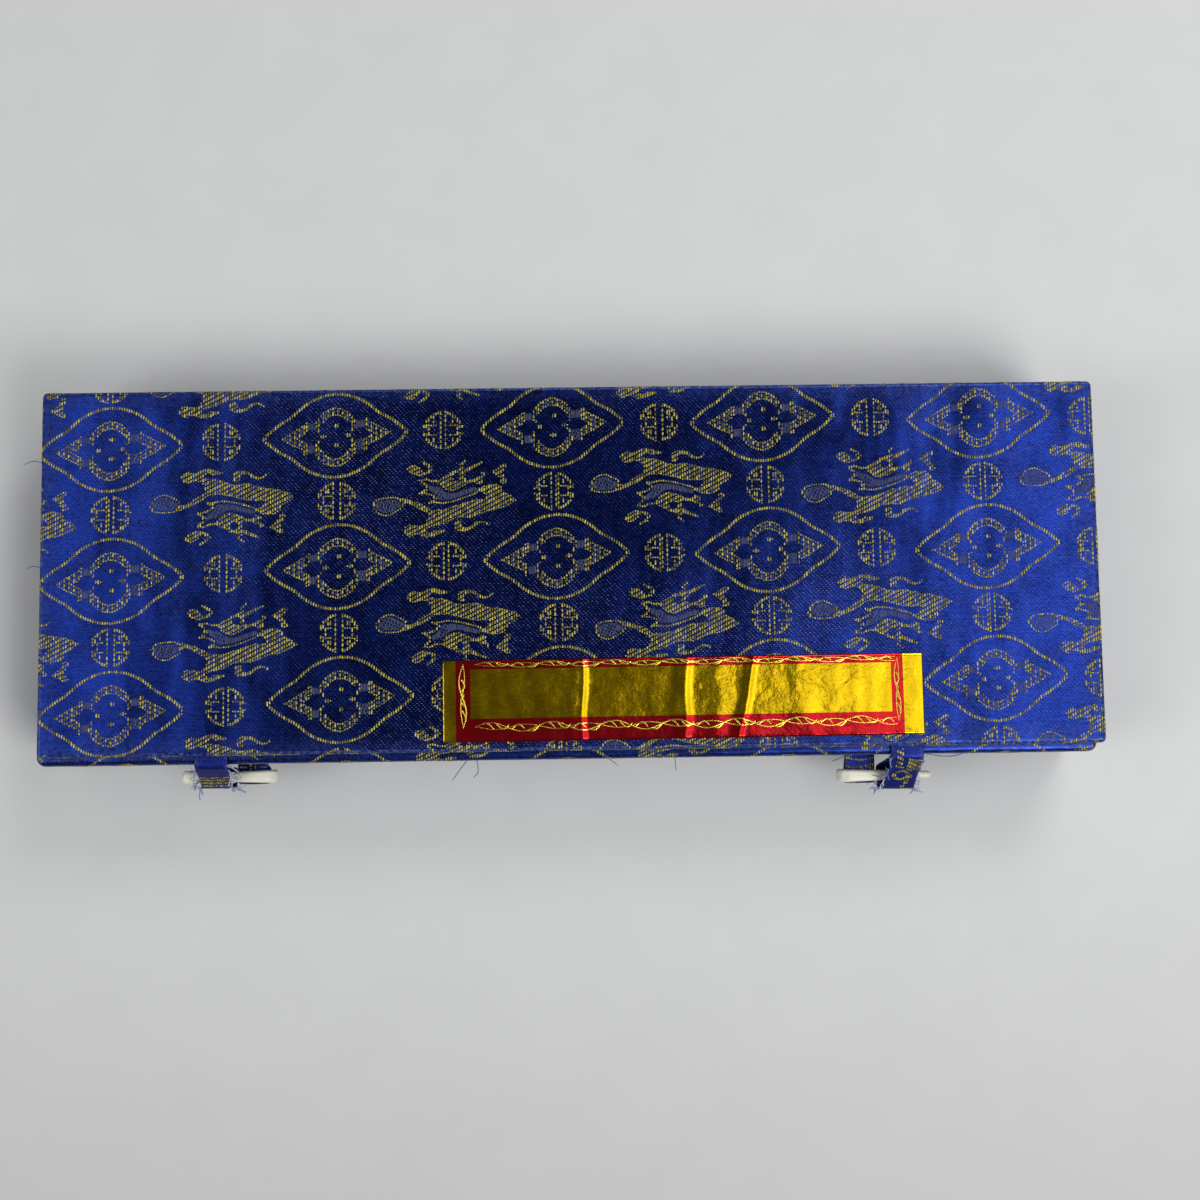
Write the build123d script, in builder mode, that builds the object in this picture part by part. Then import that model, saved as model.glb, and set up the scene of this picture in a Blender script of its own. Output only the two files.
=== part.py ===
from build123d import *
import os

# A long, flat, brocade-covered case for writing brushes. A greyboard tray is wrapped in brocade
# and lined with satin, over a ribbed foam bed. A thin board lid hangs on a cloth hinge along the
# back. Two bone pegs, each held to the front wall by a strap, slip through loops on the lid.
#
# Lengths are in millimetres. The origin is the centre of the underside, +X runs along the box,
# +Y points to the hinge and +Z up. The front is at -Y.

# The box as a whole
tray_length = 300.0
tray_depth = 105.5
box_height = 32.0
lid_setback = 2.5  # the lid stops this far behind the tray's front face
lid_shift = 1.4  # the lid is glued on this far to the right of the tray

# Sheets and boards
cloth = 0.5  # brocade with its paper backing
satin = 0.3
lining = 0.5  # satin on thin card, on the inside of the walls
wall_thickness = 2.5
base_thickness = 2.5
lid_thickness = 2.5
turn_in = 12.0  # how far the brocade is folded under an edge
rim_fold = 3.0  # how far it is folded down inside the rim
overrun = 1.0  # cuts run this far past what they cut

# Rounded edges of the wrapped boards, measured outside the cloth
corner_radius = 2.6
rim_radius = 1.6
lid_corner_radius = 1.4
lid_top_radius = 1.1
lid_under_radius = 0.7

# The cloth hinge: a strip along the back, glued below to the wall and above to the lid's edge
hinge_inset = 3.0  # from the tray's ends
hinge_grip = 2.0  # height of its free part, above and below the fold

# The bed: foam ribs and end blocks on a foam sheet, under one satin cover
bed_play = 0.2
foam_base = 3.0
rib_height = 8.4
rib_width = 6.0
rib_round_share = 0.48  # of the rib's width, so that its top is nearly a half round
channels = 5
side_rib_width = 3.55  # of the half ribs along the walls
end_block_length = 12.0
end_block_round = 2.0

# The padded panel under the lid
pad_end_gap = 4.0  # from the wall boards at the ends
pad_side_gap = 5.75  # from the wall boards at front and back
pad_thickness = 2.4
pad_corner = 2.0
pad_edge_round = 1.2
pad_set_back = 1.5  # the panel's middle is this far in front of the tray's

# The foil label
label_length = 135.2
label_width = 22.9
label_foil = 0.15
label_from_middle = 31.0  # of the lid, to the right
label_from_front = 14.3  # of the lid, to the label's middle
label_turn = 0.2  # degrees

# The bone pegs: flat tongues, narrow at the tip, with a slot for the strap near the broad end
peg_length = 27.6
peg_width = 7.0
peg_thickness = 3.8
peg_tip_width = 2.8
peg_tip_thickness = 2.0
peg_edge_break = 0.6
peg_height = 17.0  # middle of the peg above the underside
slot_from_tip = 20.6  # to the slot's middle
slot_height = 2.0
left_tip_inset = 38.2  # from the tray's left end to the left peg's tip
right_tip_inset = 45.2
left_standoff = 1.9  # from the front wall to the back of the peg
right_standoff = 4.2

# The brocade straps that hold the pegs, and the loops that these slip through
band = 0.6  # one layer of folded brocade
band_gap = 0.1  # between the two layers
band_clearance = 0.25  # between a band and the bone
slit_play = 0.2
strap_width = 8.4
strap_bend = 0.5
loop_width = 9.0
loop_bend = 1.2
loop_tail = 11.0  # glued under the lid
loop_slack = 0.8  # between the loop and the front of the peg
rim_clearance = 0.4  # between the loop and the rim
left_loop_from_tip = 11.3
right_loop_from_tip = 9.3

# Heights and faces that follow from the sizes above
rim_height = box_height - 2 * cloth - lid_thickness
lid_length = tray_length
front_face = -tray_depth / 2
back_face = tray_depth / 2
wall_wrap = cloth + wall_thickness
base_top = cloth + base_thickness
lid_front = front_face + lid_setback
lid_back = back_face + cloth
lid_reach = lid_back - lid_front
lid_middle = (lid_back + lid_front) / 2
hinge_length = tray_length - 2 * hinge_inset
inner_length = tray_length - 2 * wall_wrap
inner_depth = tray_depth - 2 * wall_wrap
bed_length = inner_length - 2 * lining - 2 * bed_play
bed_depth = inner_depth - 2 * lining - 2 * bed_play
foam_top = base_top + foam_base
pad_length = inner_length - 2 * pad_end_gap
pad_depth = inner_depth - 2 * pad_side_gap
ribs_total = 2 * side_rib_width + (channels - 1) * rib_width
channel_width = (bed_depth - ribs_total) / channels
channel_length = bed_length - 2 * end_block_length
rib_pitch = channel_width + rib_width
left_tip = -tray_length / 2 + left_tip_inset
right_tip = tray_length / 2 - right_tip_inset
strap_places = [left_tip + slot_from_tip, right_tip - slot_from_tip]
loop_places = [left_tip + left_loop_from_tip, right_tip - right_loop_from_tip]
loop_tail_depth = 2 * band
upright = (Align.CENTER, Align.CENTER, Align.MIN)

os.makedirs("parts", exist_ok=True)


def cut_strap_slits(depth):
    """Cut slits in the part being built, from the front face in, for the two straps."""
    with Locations([(x, front_face, peg_height) for x in strap_places]):
        Box(
            strap_width + 2 * slit_play,
            2 * depth,
            2 * band + band_gap + 2 * slit_play,
            mode=Mode.SUBTRACT,
        )


def cut_loop_notches():
    """Cut notches under the lid's front edge for the loops' glued tails."""
    with Locations([(x, lid_front, rim_height) for x in loop_places]):
        Box(
            loop_width + 2 * slit_play,
            2 * loop_tail,
            2 * loop_tail_depth,
            mode=Mode.SUBTRACT,
        )


# The greyboard walls. One rounded block is cut up into the four boards, so that their rounded
# corners and rim meet. The long boards run the whole length and the short ones fit between.
with BuildPart() as wall_block:
    with BuildSketch(Plane.XY.offset(cloth)):
        RectangleRounded(tray_length - 2 * cloth, tray_depth - 2 * cloth, corner_radius - cloth)
    extrude(amount=rim_height - 2 * cloth)
    fillet(wall_block.faces().sort_by(Axis.Z)[-1].edges(), rim_radius - cloth)


def wall_board(middle_x, middle_y, length, depth):
    """The part of the wall block that lies in one upright board."""
    with BuildPart() as board:
        add(wall_block.part)
        with Locations((middle_x, middle_y, 0)):
            Box(length, depth, rim_height, align=upright, mode=Mode.INTERSECT)
    return board.part


with BuildPart() as front_wall_board:
    add(wall_board(0, front_face + wall_wrap / 2, tray_length, wall_wrap))
    cut_strap_slits(wall_wrap + overrun)
front_wall_board.part.label = "front_wall_board"
export_step(front_wall_board.part, "parts/front_wall_board.step")

with BuildPart() as back_wall_board:
    add(wall_board(0, back_face - wall_wrap / 2, tray_length, wall_wrap))
back_wall_board.part.label = "back_wall_board"
export_step(back_wall_board.part, "parts/back_wall_board.step")

with BuildPart() as left_wall_board:
    add(wall_board(-tray_length / 2 + wall_wrap / 2, 0, wall_wrap, inner_depth))
left_wall_board.part.label = "left_wall_board"
export_step(left_wall_board.part, "parts/left_wall_board.step")

with BuildPart() as right_wall_board:
    add(wall_board(tray_length / 2 - wall_wrap / 2, 0, wall_wrap, inner_depth))
right_wall_board.part.label = "right_wall_board"
export_step(right_wall_board.part, "parts/right_wall_board.step")

# The base board fits between the walls.
with BuildPart() as base_board:
    with BuildSketch(Plane.XY.offset(cloth)):
        Rectangle(inner_length, inner_depth)
    extrude(amount=base_thickness)
base_board.part.label = "base_board"
export_step(base_board.part, "parts/base_board.step")

# Brocade round the outside of the walls, over the rim and down inside it, and under the base.
with BuildPart() as wall_cloth:
    with BuildSketch():
        RectangleRounded(tray_length, tray_depth, corner_radius)
    extrude(amount=rim_height)
    fillet(wall_cloth.faces().sort_by(Axis.Z)[-1].edges(), rim_radius)
    add(wall_block.part, mode=Mode.SUBTRACT)
    # open the inside, and leave the fold inside the rim
    with BuildSketch(Plane.XY.offset(rim_height + overrun)):
        Rectangle(inner_length - 2 * cloth, inner_depth - 2 * cloth)
    extrude(amount=-rim_fold - overrun, mode=Mode.SUBTRACT)
    with BuildSketch(Plane.XY.offset(rim_height - rim_fold)):
        Rectangle(inner_length, inner_depth)
        Rectangle(inner_length - 2 * cloth, inner_depth - 2 * cloth, mode=Mode.SUBTRACT)
    extrude(amount=rim_fold - cloth)
    # open the underside inside the turned-in edge
    with BuildSketch():
        Rectangle(tray_length - 2 * turn_in, tray_depth - 2 * turn_in)
    extrude(amount=cloth, mode=Mode.SUBTRACT)
    cut_strap_slits(wall_wrap / 2)
wall_cloth.part.label = "wall_cloth"
export_step(wall_cloth.part, "parts/wall_cloth.step")

# A sheet of card closes the underside inside the turned-in brocade.
with BuildPart() as base_card:
    with BuildSketch():
        Rectangle(tray_length - 2 * turn_in, tray_depth - 2 * turn_in)
    extrude(amount=cloth)
base_card.part.label = "base_card"
export_step(base_card.part, "parts/base_card.step")

# Satin-covered card on the inside of the walls, below the fold of the brocade.
with BuildPart() as wall_lining:
    with BuildSketch(Plane.XY.offset(base_top)):
        Rectangle(inner_length, inner_depth)
        Rectangle(inner_length - 2 * lining, inner_depth - 2 * lining, mode=Mode.SUBTRACT)
    extrude(amount=rim_height - rim_fold - base_top)
wall_lining.part.label = "wall_lining"
export_step(wall_lining.part, "parts/wall_lining.step")


# The bed. A foam sheet carries foam ribs with rounded tops, and a block closes each end.
def rib_row(cover):
    """All the ribs, with their tops and open sides moved out by cover."""
    height = rib_height + cover
    with BuildPart() as row:
        with BuildSketch(Plane.YZ.offset(-channel_length / 2)) as profile:
            with Locations((0, foam_top + height / 2)):
                with GridLocations(rib_pitch, 0, channels - 1, 1):
                    Rectangle(rib_width + 2 * cover, height)
            for side in (-1, 1):
                middle = side * (bed_depth - side_rib_width - cover) / 2
                with Locations((middle, foam_top + height / 2)):
                    Rectangle(side_rib_width + cover, height)
            open_tops = profile.vertices().group_by(Axis.Y)[-1].sort_by(Axis.X)[1:-1]
            fillet(open_tops, rib_round_share * rib_width + cover)
        extrude(amount=channel_length)
    return row.part


def end_block_pair(cover):
    """The two end blocks, with their tops and open sides moved out by cover."""
    height = rib_height + cover
    with BuildPart() as pair:
        with BuildSketch(Plane.XZ.offset(-bed_depth / 2)) as profile:
            for side in (-1, 1):
                middle = side * (bed_length - end_block_length - cover) / 2
                with Locations((middle, foam_top + height / 2)):
                    Rectangle(end_block_length + cover, height)
            open_tops = profile.vertices().group_by(Axis.Y)[-1].sort_by(Axis.X)[1:-1]
            fillet(open_tops, end_block_round + cover)
        extrude(amount=bed_depth)
    return pair.part


with BuildPart() as bed_foam:
    with BuildSketch(Plane.XY.offset(base_top)):
        Rectangle(bed_length, bed_depth)
    extrude(amount=foam_base)
bed_foam.part.label = "bed_foam"
export_step(bed_foam.part, "parts/bed_foam.step")

with BuildPart() as bed_ribs:
    add(rib_row(0))
bed_ribs.part.label = "bed_ribs"
export_step(bed_ribs.part, "parts/bed_ribs.step")

with BuildPart() as bed_end_blocks:
    add(end_block_pair(0))
bed_end_blocks.part.label = "bed_end_blocks"
export_step(bed_end_blocks.part, "parts/bed_end_blocks.step")

# One satin cover follows the ribs, the blocks and the channels between them.
with BuildPart() as bed_satin:
    with BuildSketch(Plane.XY.offset(foam_top)):
        Rectangle(bed_length, bed_depth)
    extrude(amount=satin)
    add(rib_row(satin))
    add(end_block_pair(satin))
    add(bed_ribs.part, mode=Mode.SUBTRACT)
    add(bed_end_blocks.part, mode=Mode.SUBTRACT)
bed_satin.part.label = "bed_satin"
export_step(bed_satin.part, "parts/bed_satin.step")

# The lid's greyboard, with notches underneath for the glued tails of the loops.
with BuildPart() as lid_board:
    with BuildSketch(Plane.XY.offset(rim_height + cloth)):
        with Locations((lid_shift, lid_middle)):
            RectangleRounded(lid_length - 2 * cloth, lid_reach - 2 * cloth, lid_corner_radius - cloth)
    extrude(amount=lid_thickness)
    fillet(lid_board.faces().sort_by(Axis.Z)[-1].edges(), lid_top_radius - cloth)
    cut_loop_notches()
lid_board.part.label = "lid_board"
export_step(lid_board.part, "parts/lid_board.step")


def inside_the_turn_in():
    """Outline of the lid's underside that the folded edges leave open, up to the hinge."""
    with Locations((lid_shift, (lid_front + turn_in + back_face) / 2)):
        Rectangle(lid_length - 2 * turn_in, back_face - lid_front - turn_in)


# Brocade over the lid, folded under on three sides. The hinge strip takes its place along the
# bottom of the back edge.
with BuildPart() as lid_cloth:
    with BuildSketch(Plane.XY.offset(rim_height)):
        with Locations((lid_shift, lid_middle)):
            RectangleRounded(lid_length, lid_reach, lid_corner_radius)
    extrude(amount=box_height - rim_height)
    fillet(lid_cloth.faces().sort_by(Axis.Z)[-1].edges(), lid_top_radius)
    fillet(lid_cloth.faces().sort_by(Axis.Z)[0].edges(), lid_under_radius)
    add(lid_board.part, mode=Mode.SUBTRACT)
    with BuildSketch(Plane.XY.offset(rim_height)):
        inside_the_turn_in()
    extrude(amount=cloth, mode=Mode.SUBTRACT)
    cut_loop_notches()
    with Locations((0, back_face, rim_height)):
        Box(
            hinge_length,
            2 * cloth,
            hinge_grip,
            align=(Align.CENTER, Align.MIN, Align.MIN),
            mode=Mode.SUBTRACT,
        )
lid_cloth.part.label = "lid_cloth"
export_step(lid_cloth.part, "parts/lid_cloth.step")

# Card inside the folded edges, which carries the padded panel.
with BuildPart() as lid_card:
    with BuildSketch(Plane.XY.offset(rim_height)):
        inside_the_turn_in()
    extrude(amount=cloth)
lid_card.part.label = "lid_card"
export_step(lid_card.part, "parts/lid_card.step")


def lid_panel(cover):
    """The padded panel, with its open faces moved out by cover."""
    with BuildPart() as panel:
        with BuildSketch(Plane.XY.offset(rim_height)):
            with Locations((lid_shift, -pad_set_back)):
                RectangleRounded(pad_length + 2 * cover, pad_depth + 2 * cover, pad_corner + cover)
        extrude(amount=-pad_thickness - cover)
        fillet(panel.faces().sort_by(Axis.Z)[0].edges(), pad_edge_round + cover)
    return panel.part


with BuildPart() as lid_pad:
    add(lid_panel(0))
lid_pad.part.label = "lid_pad"
export_step(lid_pad.part, "parts/lid_pad.step")

with BuildPart() as pad_satin:
    add(lid_panel(satin))
    add(lid_pad.part, mode=Mode.SUBTRACT)
pad_satin.part.label = "pad_satin"
export_step(pad_satin.part, "parts/pad_satin.step")

# The foil label lies on the lid, near its front edge.
label_middle = (lid_shift + label_from_middle, lid_front + label_from_front, box_height)
with BuildPart() as foil_label:
    with BuildSketch(Plane(origin=label_middle).rotated((0, 0, label_turn))):
        Rectangle(label_length, label_width)
    extrude(amount=label_foil)
foil_label.part.label = "foil_label"
export_step(foil_label.part, "parts/foil_label.step")


# The hinge: a strip of brocade that folds at the height of the rim, and the brocade below it,
# glued over the tray's own on the back wall.
def back_strip(bottom, top):
    """A sheet of brocade on the back face, between two heights."""
    with BuildPart() as strip:
        with BuildSketch(Plane.XY.offset(bottom)):
            with Locations((0, back_face + cloth / 2)):
                Rectangle(hinge_length, cloth)
        extrude(amount=top - bottom)
    return strip.part


with BuildPart() as hinge_cloth:
    add(back_strip(rim_height - hinge_grip, rim_height + hinge_grip))
hinge_cloth.part.label = "hinge_cloth"
export_step(hinge_cloth.part, "parts/hinge_cloth.step")

with BuildPart() as back_cloth:
    add(back_strip(cloth, rim_height - hinge_grip))
back_cloth.part.label = "back_cloth"
export_step(back_cloth.part, "parts/back_cloth.step")


# The pegs. Each tapers from its broad end to its tip, both in width and in thickness.
def half_size(from_tip, tip_size, end_size):
    """Half the peg's width or thickness at a distance from its tip."""
    tip_radius = tip_size / 2
    end_radius = end_size / 2
    along = (from_tip - tip_radius) / (peg_length - tip_radius - end_radius)
    return tip_radius + (end_radius - tip_radius) * min(along, 1)


def peg_middle(standoff):
    """Where a peg's middle plane lies, in front of the wall."""
    return front_face - standoff - peg_thickness / 2


def bone_peg(tip_x, inward, standoff):
    """A tongue of bone with a slot. Its tip is at tip_x, and inward is +1 or -1 along X."""
    peg_y = peg_middle(standoff)
    with BuildPart() as peg:
        with BuildSketch(Plane.XZ.offset(-peg_y)):
            for size, middle in (
                (peg_tip_width, peg_tip_width / 2),
                (peg_width, peg_length - peg_width / 2),
            ):
                with Locations((tip_x + inward * middle, peg_height)):
                    Circle(size / 2)
            make_hull()
        extrude(amount=peg_thickness, both=True)
        with BuildSketch(Plane.XY.offset(peg_height)):
            end_x = tip_x + inward * peg_length
            Polygon(
                (tip_x, peg_y - peg_tip_thickness / 2),
                (tip_x, peg_y + peg_tip_thickness / 2),
                (end_x, peg_y + peg_thickness / 2),
                (end_x, peg_y - peg_thickness / 2),
                align=None,
            )
        extrude(amount=peg_width, both=True, mode=Mode.INTERSECT)
        chamfer(peg.edges(), peg_edge_break)
        with BuildSketch(Plane.XZ.offset(-peg_y)):
            with Locations((tip_x + inward * slot_from_tip, peg_height)):
                SlotOverall(strap_width + slot_height, slot_height)
        extrude(amount=peg_thickness, both=True, mode=Mode.SUBTRACT)
    return peg.part


def strap(middle_x, standoff):
    """A folded band from a slit in the wall, through the peg's slot and back round under it."""
    reach = peg_thickness / 2 + band_clearance + band / 2
    upper = peg_height + (band + band_gap) / 2
    lower = peg_height - (band + band_gap) / 2
    under_peg = peg_height - peg_width / 2 - band_clearance - band / 2
    front_y = peg_middle(standoff) - reach
    back_y = peg_middle(standoff) + reach
    root_y = front_face + wall_wrap
    with BuildPart() as folded:
        with BuildSketch(Plane.YZ.offset(middle_x - strap_width / 2)):
            with BuildLine():
                FilletPolyline(
                    (root_y, upper),
                    (front_y, upper),
                    (front_y, under_peg),
                    (back_y, under_peg),
                    (front_face - band, lower),
                    (root_y, lower),
                    radius=strap_bend,
                )
            trace(line_width=band)
        extrude(amount=strap_width)
    return folded.part


def loop(middle_x, from_tip, standoff):
    """A folded band from under the lid's front edge, down over the rim and round the peg."""
    broad_side = from_tip + loop_width / 2
    half_width = half_size(broad_side, peg_tip_width, peg_width)
    half_thickness = half_size(broad_side, peg_tip_thickness, peg_thickness)
    reach = half_thickness + band_clearance + band / 2
    upper = rim_height + loop_tail_depth * 3 / 4
    lower = rim_height + loop_tail_depth / 4
    over_peg = peg_height + half_width + band_clearance + band / 2
    under_peg = peg_height - half_width - band_clearance - band / 2
    front_y = peg_middle(standoff) - reach - loop_slack
    back_y = peg_middle(standoff) + reach
    tail_y = lid_front + loop_tail
    with BuildPart() as folded:
        with BuildSketch(Plane.YZ.offset(middle_x - loop_width / 2)):
            with BuildLine():
                FilletPolyline(
                    (tail_y, upper),
                    (front_face - band, upper),
                    (front_y, over_peg),
                    (front_y, under_peg),
                    (back_y, under_peg),
                    (front_face - rim_clearance - band / 2, rim_height - rim_radius),
                    (front_face - rim_clearance + band, lower),
                    (tail_y, lower),
                    radius=[loop_bend, loop_bend, loop_bend, loop_bend, loop_bend, band],
                )
            trace(line_width=band - band_gap)
        extrude(amount=loop_width)
    return folded.part


with BuildPart() as left_peg:
    add(bone_peg(left_tip, 1, left_standoff))
left_peg.part.label = "left_peg"
export_step(left_peg.part, "parts/left_peg.step")

with BuildPart() as right_peg:
    add(bone_peg(right_tip, -1, right_standoff))
right_peg.part.label = "right_peg"
export_step(right_peg.part, "parts/right_peg.step")

with BuildPart() as left_strap:
    add(strap(strap_places[0], left_standoff))
left_strap.part.label = "left_strap"
export_step(left_strap.part, "parts/left_strap.step")

with BuildPart() as right_strap:
    add(strap(strap_places[1], right_standoff))
right_strap.part.label = "right_strap"
export_step(right_strap.part, "parts/right_strap.step")

with BuildPart() as left_loop:
    add(loop(loop_places[0], left_loop_from_tip, left_standoff))
left_loop.part.label = "left_loop"
export_step(left_loop.part, "parts/left_loop.step")

with BuildPart() as right_loop:
    add(loop(loop_places[1], right_loop_from_tip, right_standoff))
right_loop.part.label = "right_loop"
export_step(right_loop.part, "parts/right_loop.step")
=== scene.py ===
# %% [markdown]
# # A brocade case for writing brushes
# The case is a long, flat tray of greyboard wrapped in blue brocade, with a thin lid on a cloth
# hinge. Two bone pegs slip through brocade loops to close it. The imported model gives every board
# and solid in place. This file dresses it: cloth with real gold threads, foil, bone and satin.

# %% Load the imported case
import math

import bmesh
import bpy
import numpy as np
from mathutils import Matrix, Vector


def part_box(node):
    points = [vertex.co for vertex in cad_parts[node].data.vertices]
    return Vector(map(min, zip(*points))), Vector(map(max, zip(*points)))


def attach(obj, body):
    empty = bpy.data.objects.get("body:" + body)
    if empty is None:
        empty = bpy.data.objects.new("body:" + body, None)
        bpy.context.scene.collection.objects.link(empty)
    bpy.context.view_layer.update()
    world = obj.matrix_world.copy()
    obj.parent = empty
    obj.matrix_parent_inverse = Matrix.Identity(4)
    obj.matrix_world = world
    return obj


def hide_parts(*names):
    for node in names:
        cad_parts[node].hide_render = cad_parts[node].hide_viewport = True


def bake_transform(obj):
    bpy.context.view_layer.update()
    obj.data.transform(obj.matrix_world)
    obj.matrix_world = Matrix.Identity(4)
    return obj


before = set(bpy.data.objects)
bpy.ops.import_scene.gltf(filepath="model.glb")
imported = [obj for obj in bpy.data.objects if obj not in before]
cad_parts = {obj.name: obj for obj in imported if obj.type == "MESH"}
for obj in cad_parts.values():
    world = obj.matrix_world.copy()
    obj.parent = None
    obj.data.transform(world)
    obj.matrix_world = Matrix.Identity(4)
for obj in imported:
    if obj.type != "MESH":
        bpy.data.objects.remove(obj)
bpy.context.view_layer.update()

MM = 0.001  # lengths below are in millimetres, and Blender's unit here is the metre
SHEET = 0.44  # thickness of the wrapped cloth

# %% [markdown]
# ## Camera and studio
# The case lies on a pale floor and is seen from almost straight above. Satin and foil show what
# they mirror, so large soft boxes hang over both sides, with narrow ones along their inner edges:
# the cloth then shines at both ends and stays dark in the middle, as polished blue silk does.
# Two small boxes light the label, and three more stand round the case.

# %% Camera
from mathutils import Matrix, Vector

CAMERA_PLACE = Vector((3.490, -44.688, 453.987))
CAMERA_TURN = Matrix((
    (0.999813, 0.013594, -0.013724),
    (-0.014730, 0.996156, -0.086350),
    (0.012498, 0.086536, 0.996170),
))
camera_data = bpy.data.cameras.new("studio_camera")
camera_data.lens = 45
camera_data.sensor_width = 36
camera_data.clip_start = 0.01
camera = bpy.data.objects.new("studio_camera", camera_data)
camera.matrix_world = Matrix.Translation(CAMERA_PLACE * MM) @ CAMERA_TURN.to_4x4()
bpy.context.scene.collection.objects.link(camera)
bpy.context.scene.camera = camera
print("camera at", tuple(round(c, 3) for c in camera.location))

# %% Soft boxes


def soft_box(name, place, target, size, power):
    """A rectangular studio light, at place and aimed at target, both in millimetres."""
    data = bpy.data.lights.new(name, "AREA")
    data.shape = "RECTANGLE"
    data.size, data.size_y = (side * MM for side in size)
    data.energy = power
    light = bpy.data.objects.new(name, data)
    light.location = Vector(place) * MM
    aim = Vector(target) * MM - light.location
    light.rotation_euler = aim.to_track_quat("-Z", "Y").to_euler()
    bpy.context.scene.collection.objects.link(light)


soft_box("right_mirror_box", (705, 60, 1000), (705, 60, 0), (770, 900), 2.8)
soft_box("label_box", (265, -15, 1000), (265, -15, 0), (190, 170), 0.2)
soft_box("label_glow", (85, -15, 1000), (85, -15, 0), (130, 170), 0.006)
soft_box("left_mirror_box", (-655, 60, 1000), (-655, 60, 0), (610, 900), 1.6)
soft_box("right_window", (445, 60, 995), (445, 60, 0), (90, 900), 0.50)
soft_box("left_window", (-505, 60, 995), (-505, 60, 0), (120, 900), 0.27)
soft_box("key_box", (650, -620, 950), (60, 60, 0), (600, 600), 10.5)
soft_box("back_box", (520, 950, 900), (150, 250, 0), (700, 500), 8)
soft_box("fill_box", (-900, -300, 800), (0, 0, 0), (500, 500), 4.5)

scene = bpy.context.scene
scene.view_settings.view_transform = "Standard"
world = bpy.data.worlds.new("studio")
scene.world = world
world.use_nodes = True
sky = world.node_tree
sky.nodes["Background"].inputs["Color"].default_value = (0.82, 0.84, 0.87, 1)
sky.nodes["Background"].inputs["Strength"].default_value = 0.06
backdrop = sky.nodes.new("ShaderNodeBackground")
backdrop.inputs["Color"].default_value = (0.56, 0.565, 0.565, 1)
either = sky.nodes.new("ShaderNodeMixShader")
sky.links.new(sky.nodes.new("ShaderNodeLightPath").outputs["Is Camera Ray"], either.inputs[0])
sky.links.new(sky.nodes["Background"].outputs[0], either.inputs[1])
sky.links.new(backdrop.outputs[0], either.inputs[2])
sky.links.new(either.outputs[0], sky.nodes["World Output"].inputs["Surface"])

# %% [markdown]
# ## Small helpers
# A mesh is given as points in millimetres and faces. Shader trees are wired with two short
# functions, so that each material below reads as a list of what it mixes.

# %% Meshes from points


def make_piece(name, points, faces, material=None, uv=None, smooth=True, values=None):
    """A mesh object at the origin. points are in millimetres; uv and values are per point."""
    mesh = bpy.data.meshes.new(name)
    mesh.from_pydata((np.asarray(points, float) * MM).tolist(), [], faces)
    if uv is not None:
        layer = mesh.uv_layers.new(name="cloth")
        corner_points = np.zeros(len(mesh.loops), np.int32)
        mesh.loops.foreach_get("vertex_index", corner_points)
        layer.data.foreach_set("uv", np.asarray(uv, np.float32)[corner_points].ravel())
    for key, numbers in (values or {}).items():
        attribute = mesh.attributes.new(key, "FLOAT", "POINT")
        attribute.data.foreach_set("value", np.asarray(numbers, np.float32))
    mesh.polygons.foreach_set("use_smooth", [smooth] * len(mesh.polygons))
    if material is not None:
        mesh.materials.append(material)
    mesh.update()
    piece = bpy.data.objects.new(name, mesh)
    bpy.context.scene.collection.objects.link(piece)
    return piece


def weld(piece):
    """Join points that lie on one another, so that no face is folded flat."""
    shape = bmesh.new()
    shape.from_mesh(piece.data)
    bmesh.ops.remove_doubles(shape, verts=shape.verts, dist=0.004 * MM)
    bmesh.ops.dissolve_degenerate(shape, dist=0.004 * MM, edges=shape.edges)
    shape.to_mesh(piece.data)
    shape.free()


def thicken(piece, thickness, rim=True):
    """Give a sheet its thickness, inwards from its outer face."""
    solidify = piece.modifiers.new("thickness", "SOLIDIFY")
    solidify.thickness = thickness * MM
    solidify.offset = -1
    solidify.use_rim = rim
    return piece


def quad_strip(rows, row_length, closed, start=0):
    """Faces between rows of points that lie one after another."""
    steps = row_length if closed else row_length - 1
    faces = []
    for row in range(rows - 1):
        low = start + row * row_length
        high = low + row_length
        for i in range(steps):
            j = (i + 1) % row_length
            faces.append((low + i, low + j, high + j, high + i))
    return faces


def grid_in_ring(start, columns, rows, last, corner_steps):
    """Faces of a grid of points, and those that join its rim to the ring that starts at last."""
    faces = quad_strip(rows, columns, False, start)
    front = [start + c for c in range(columns)]
    right = [start + r * columns + columns - 1 for r in range(rows)]
    back = [start + (rows - 1) * columns + c for c in range(columns)][::-1]
    left = [start + r * columns for r in range(rows)][::-1]
    rim = []
    for side in (front, right, back, left):
        rim += side + [side[-1]] * (corner_steps - 1)
    for i in range(len(rim)):
        j = (i + 1) % len(rim)
        faces.append(tuple(dict.fromkeys((last + i, last + j, rim[j], rim[i]))))
    return faces


def raw_places(mesh):
    """The places of a mesh's points, in Blender's unit."""
    places = np.zeros(len(mesh.vertices) * 3)
    mesh.vertices.foreach_get("co", places)
    return places.reshape(-1, 3)


def shown_mesh(piece):
    """A copy of a piece's mesh with its modifiers applied."""
    bpy.context.view_layer.update()
    ready = piece.evaluated_get(bpy.context.evaluated_depsgraph_get())
    return bpy.data.meshes.new_from_object(ready)


# %% Shader wiring


def wire(tree, socket, value):
    """Link an output to a socket, or set the socket's value."""
    if isinstance(value, bpy.types.NodeSocket):
        tree.links.new(value, socket)
    else:
        socket.default_value = value


def add(tree, kind, inputs=None, **settings):
    """Add a node with its settings and inputs (by socket name or number)."""
    node = tree.nodes.new(kind)
    for key, value in settings.items():
        setattr(node, key, value)
    for key, value in (inputs or {}).items():
        wire(tree, node.inputs[key], value)
    return node


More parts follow.
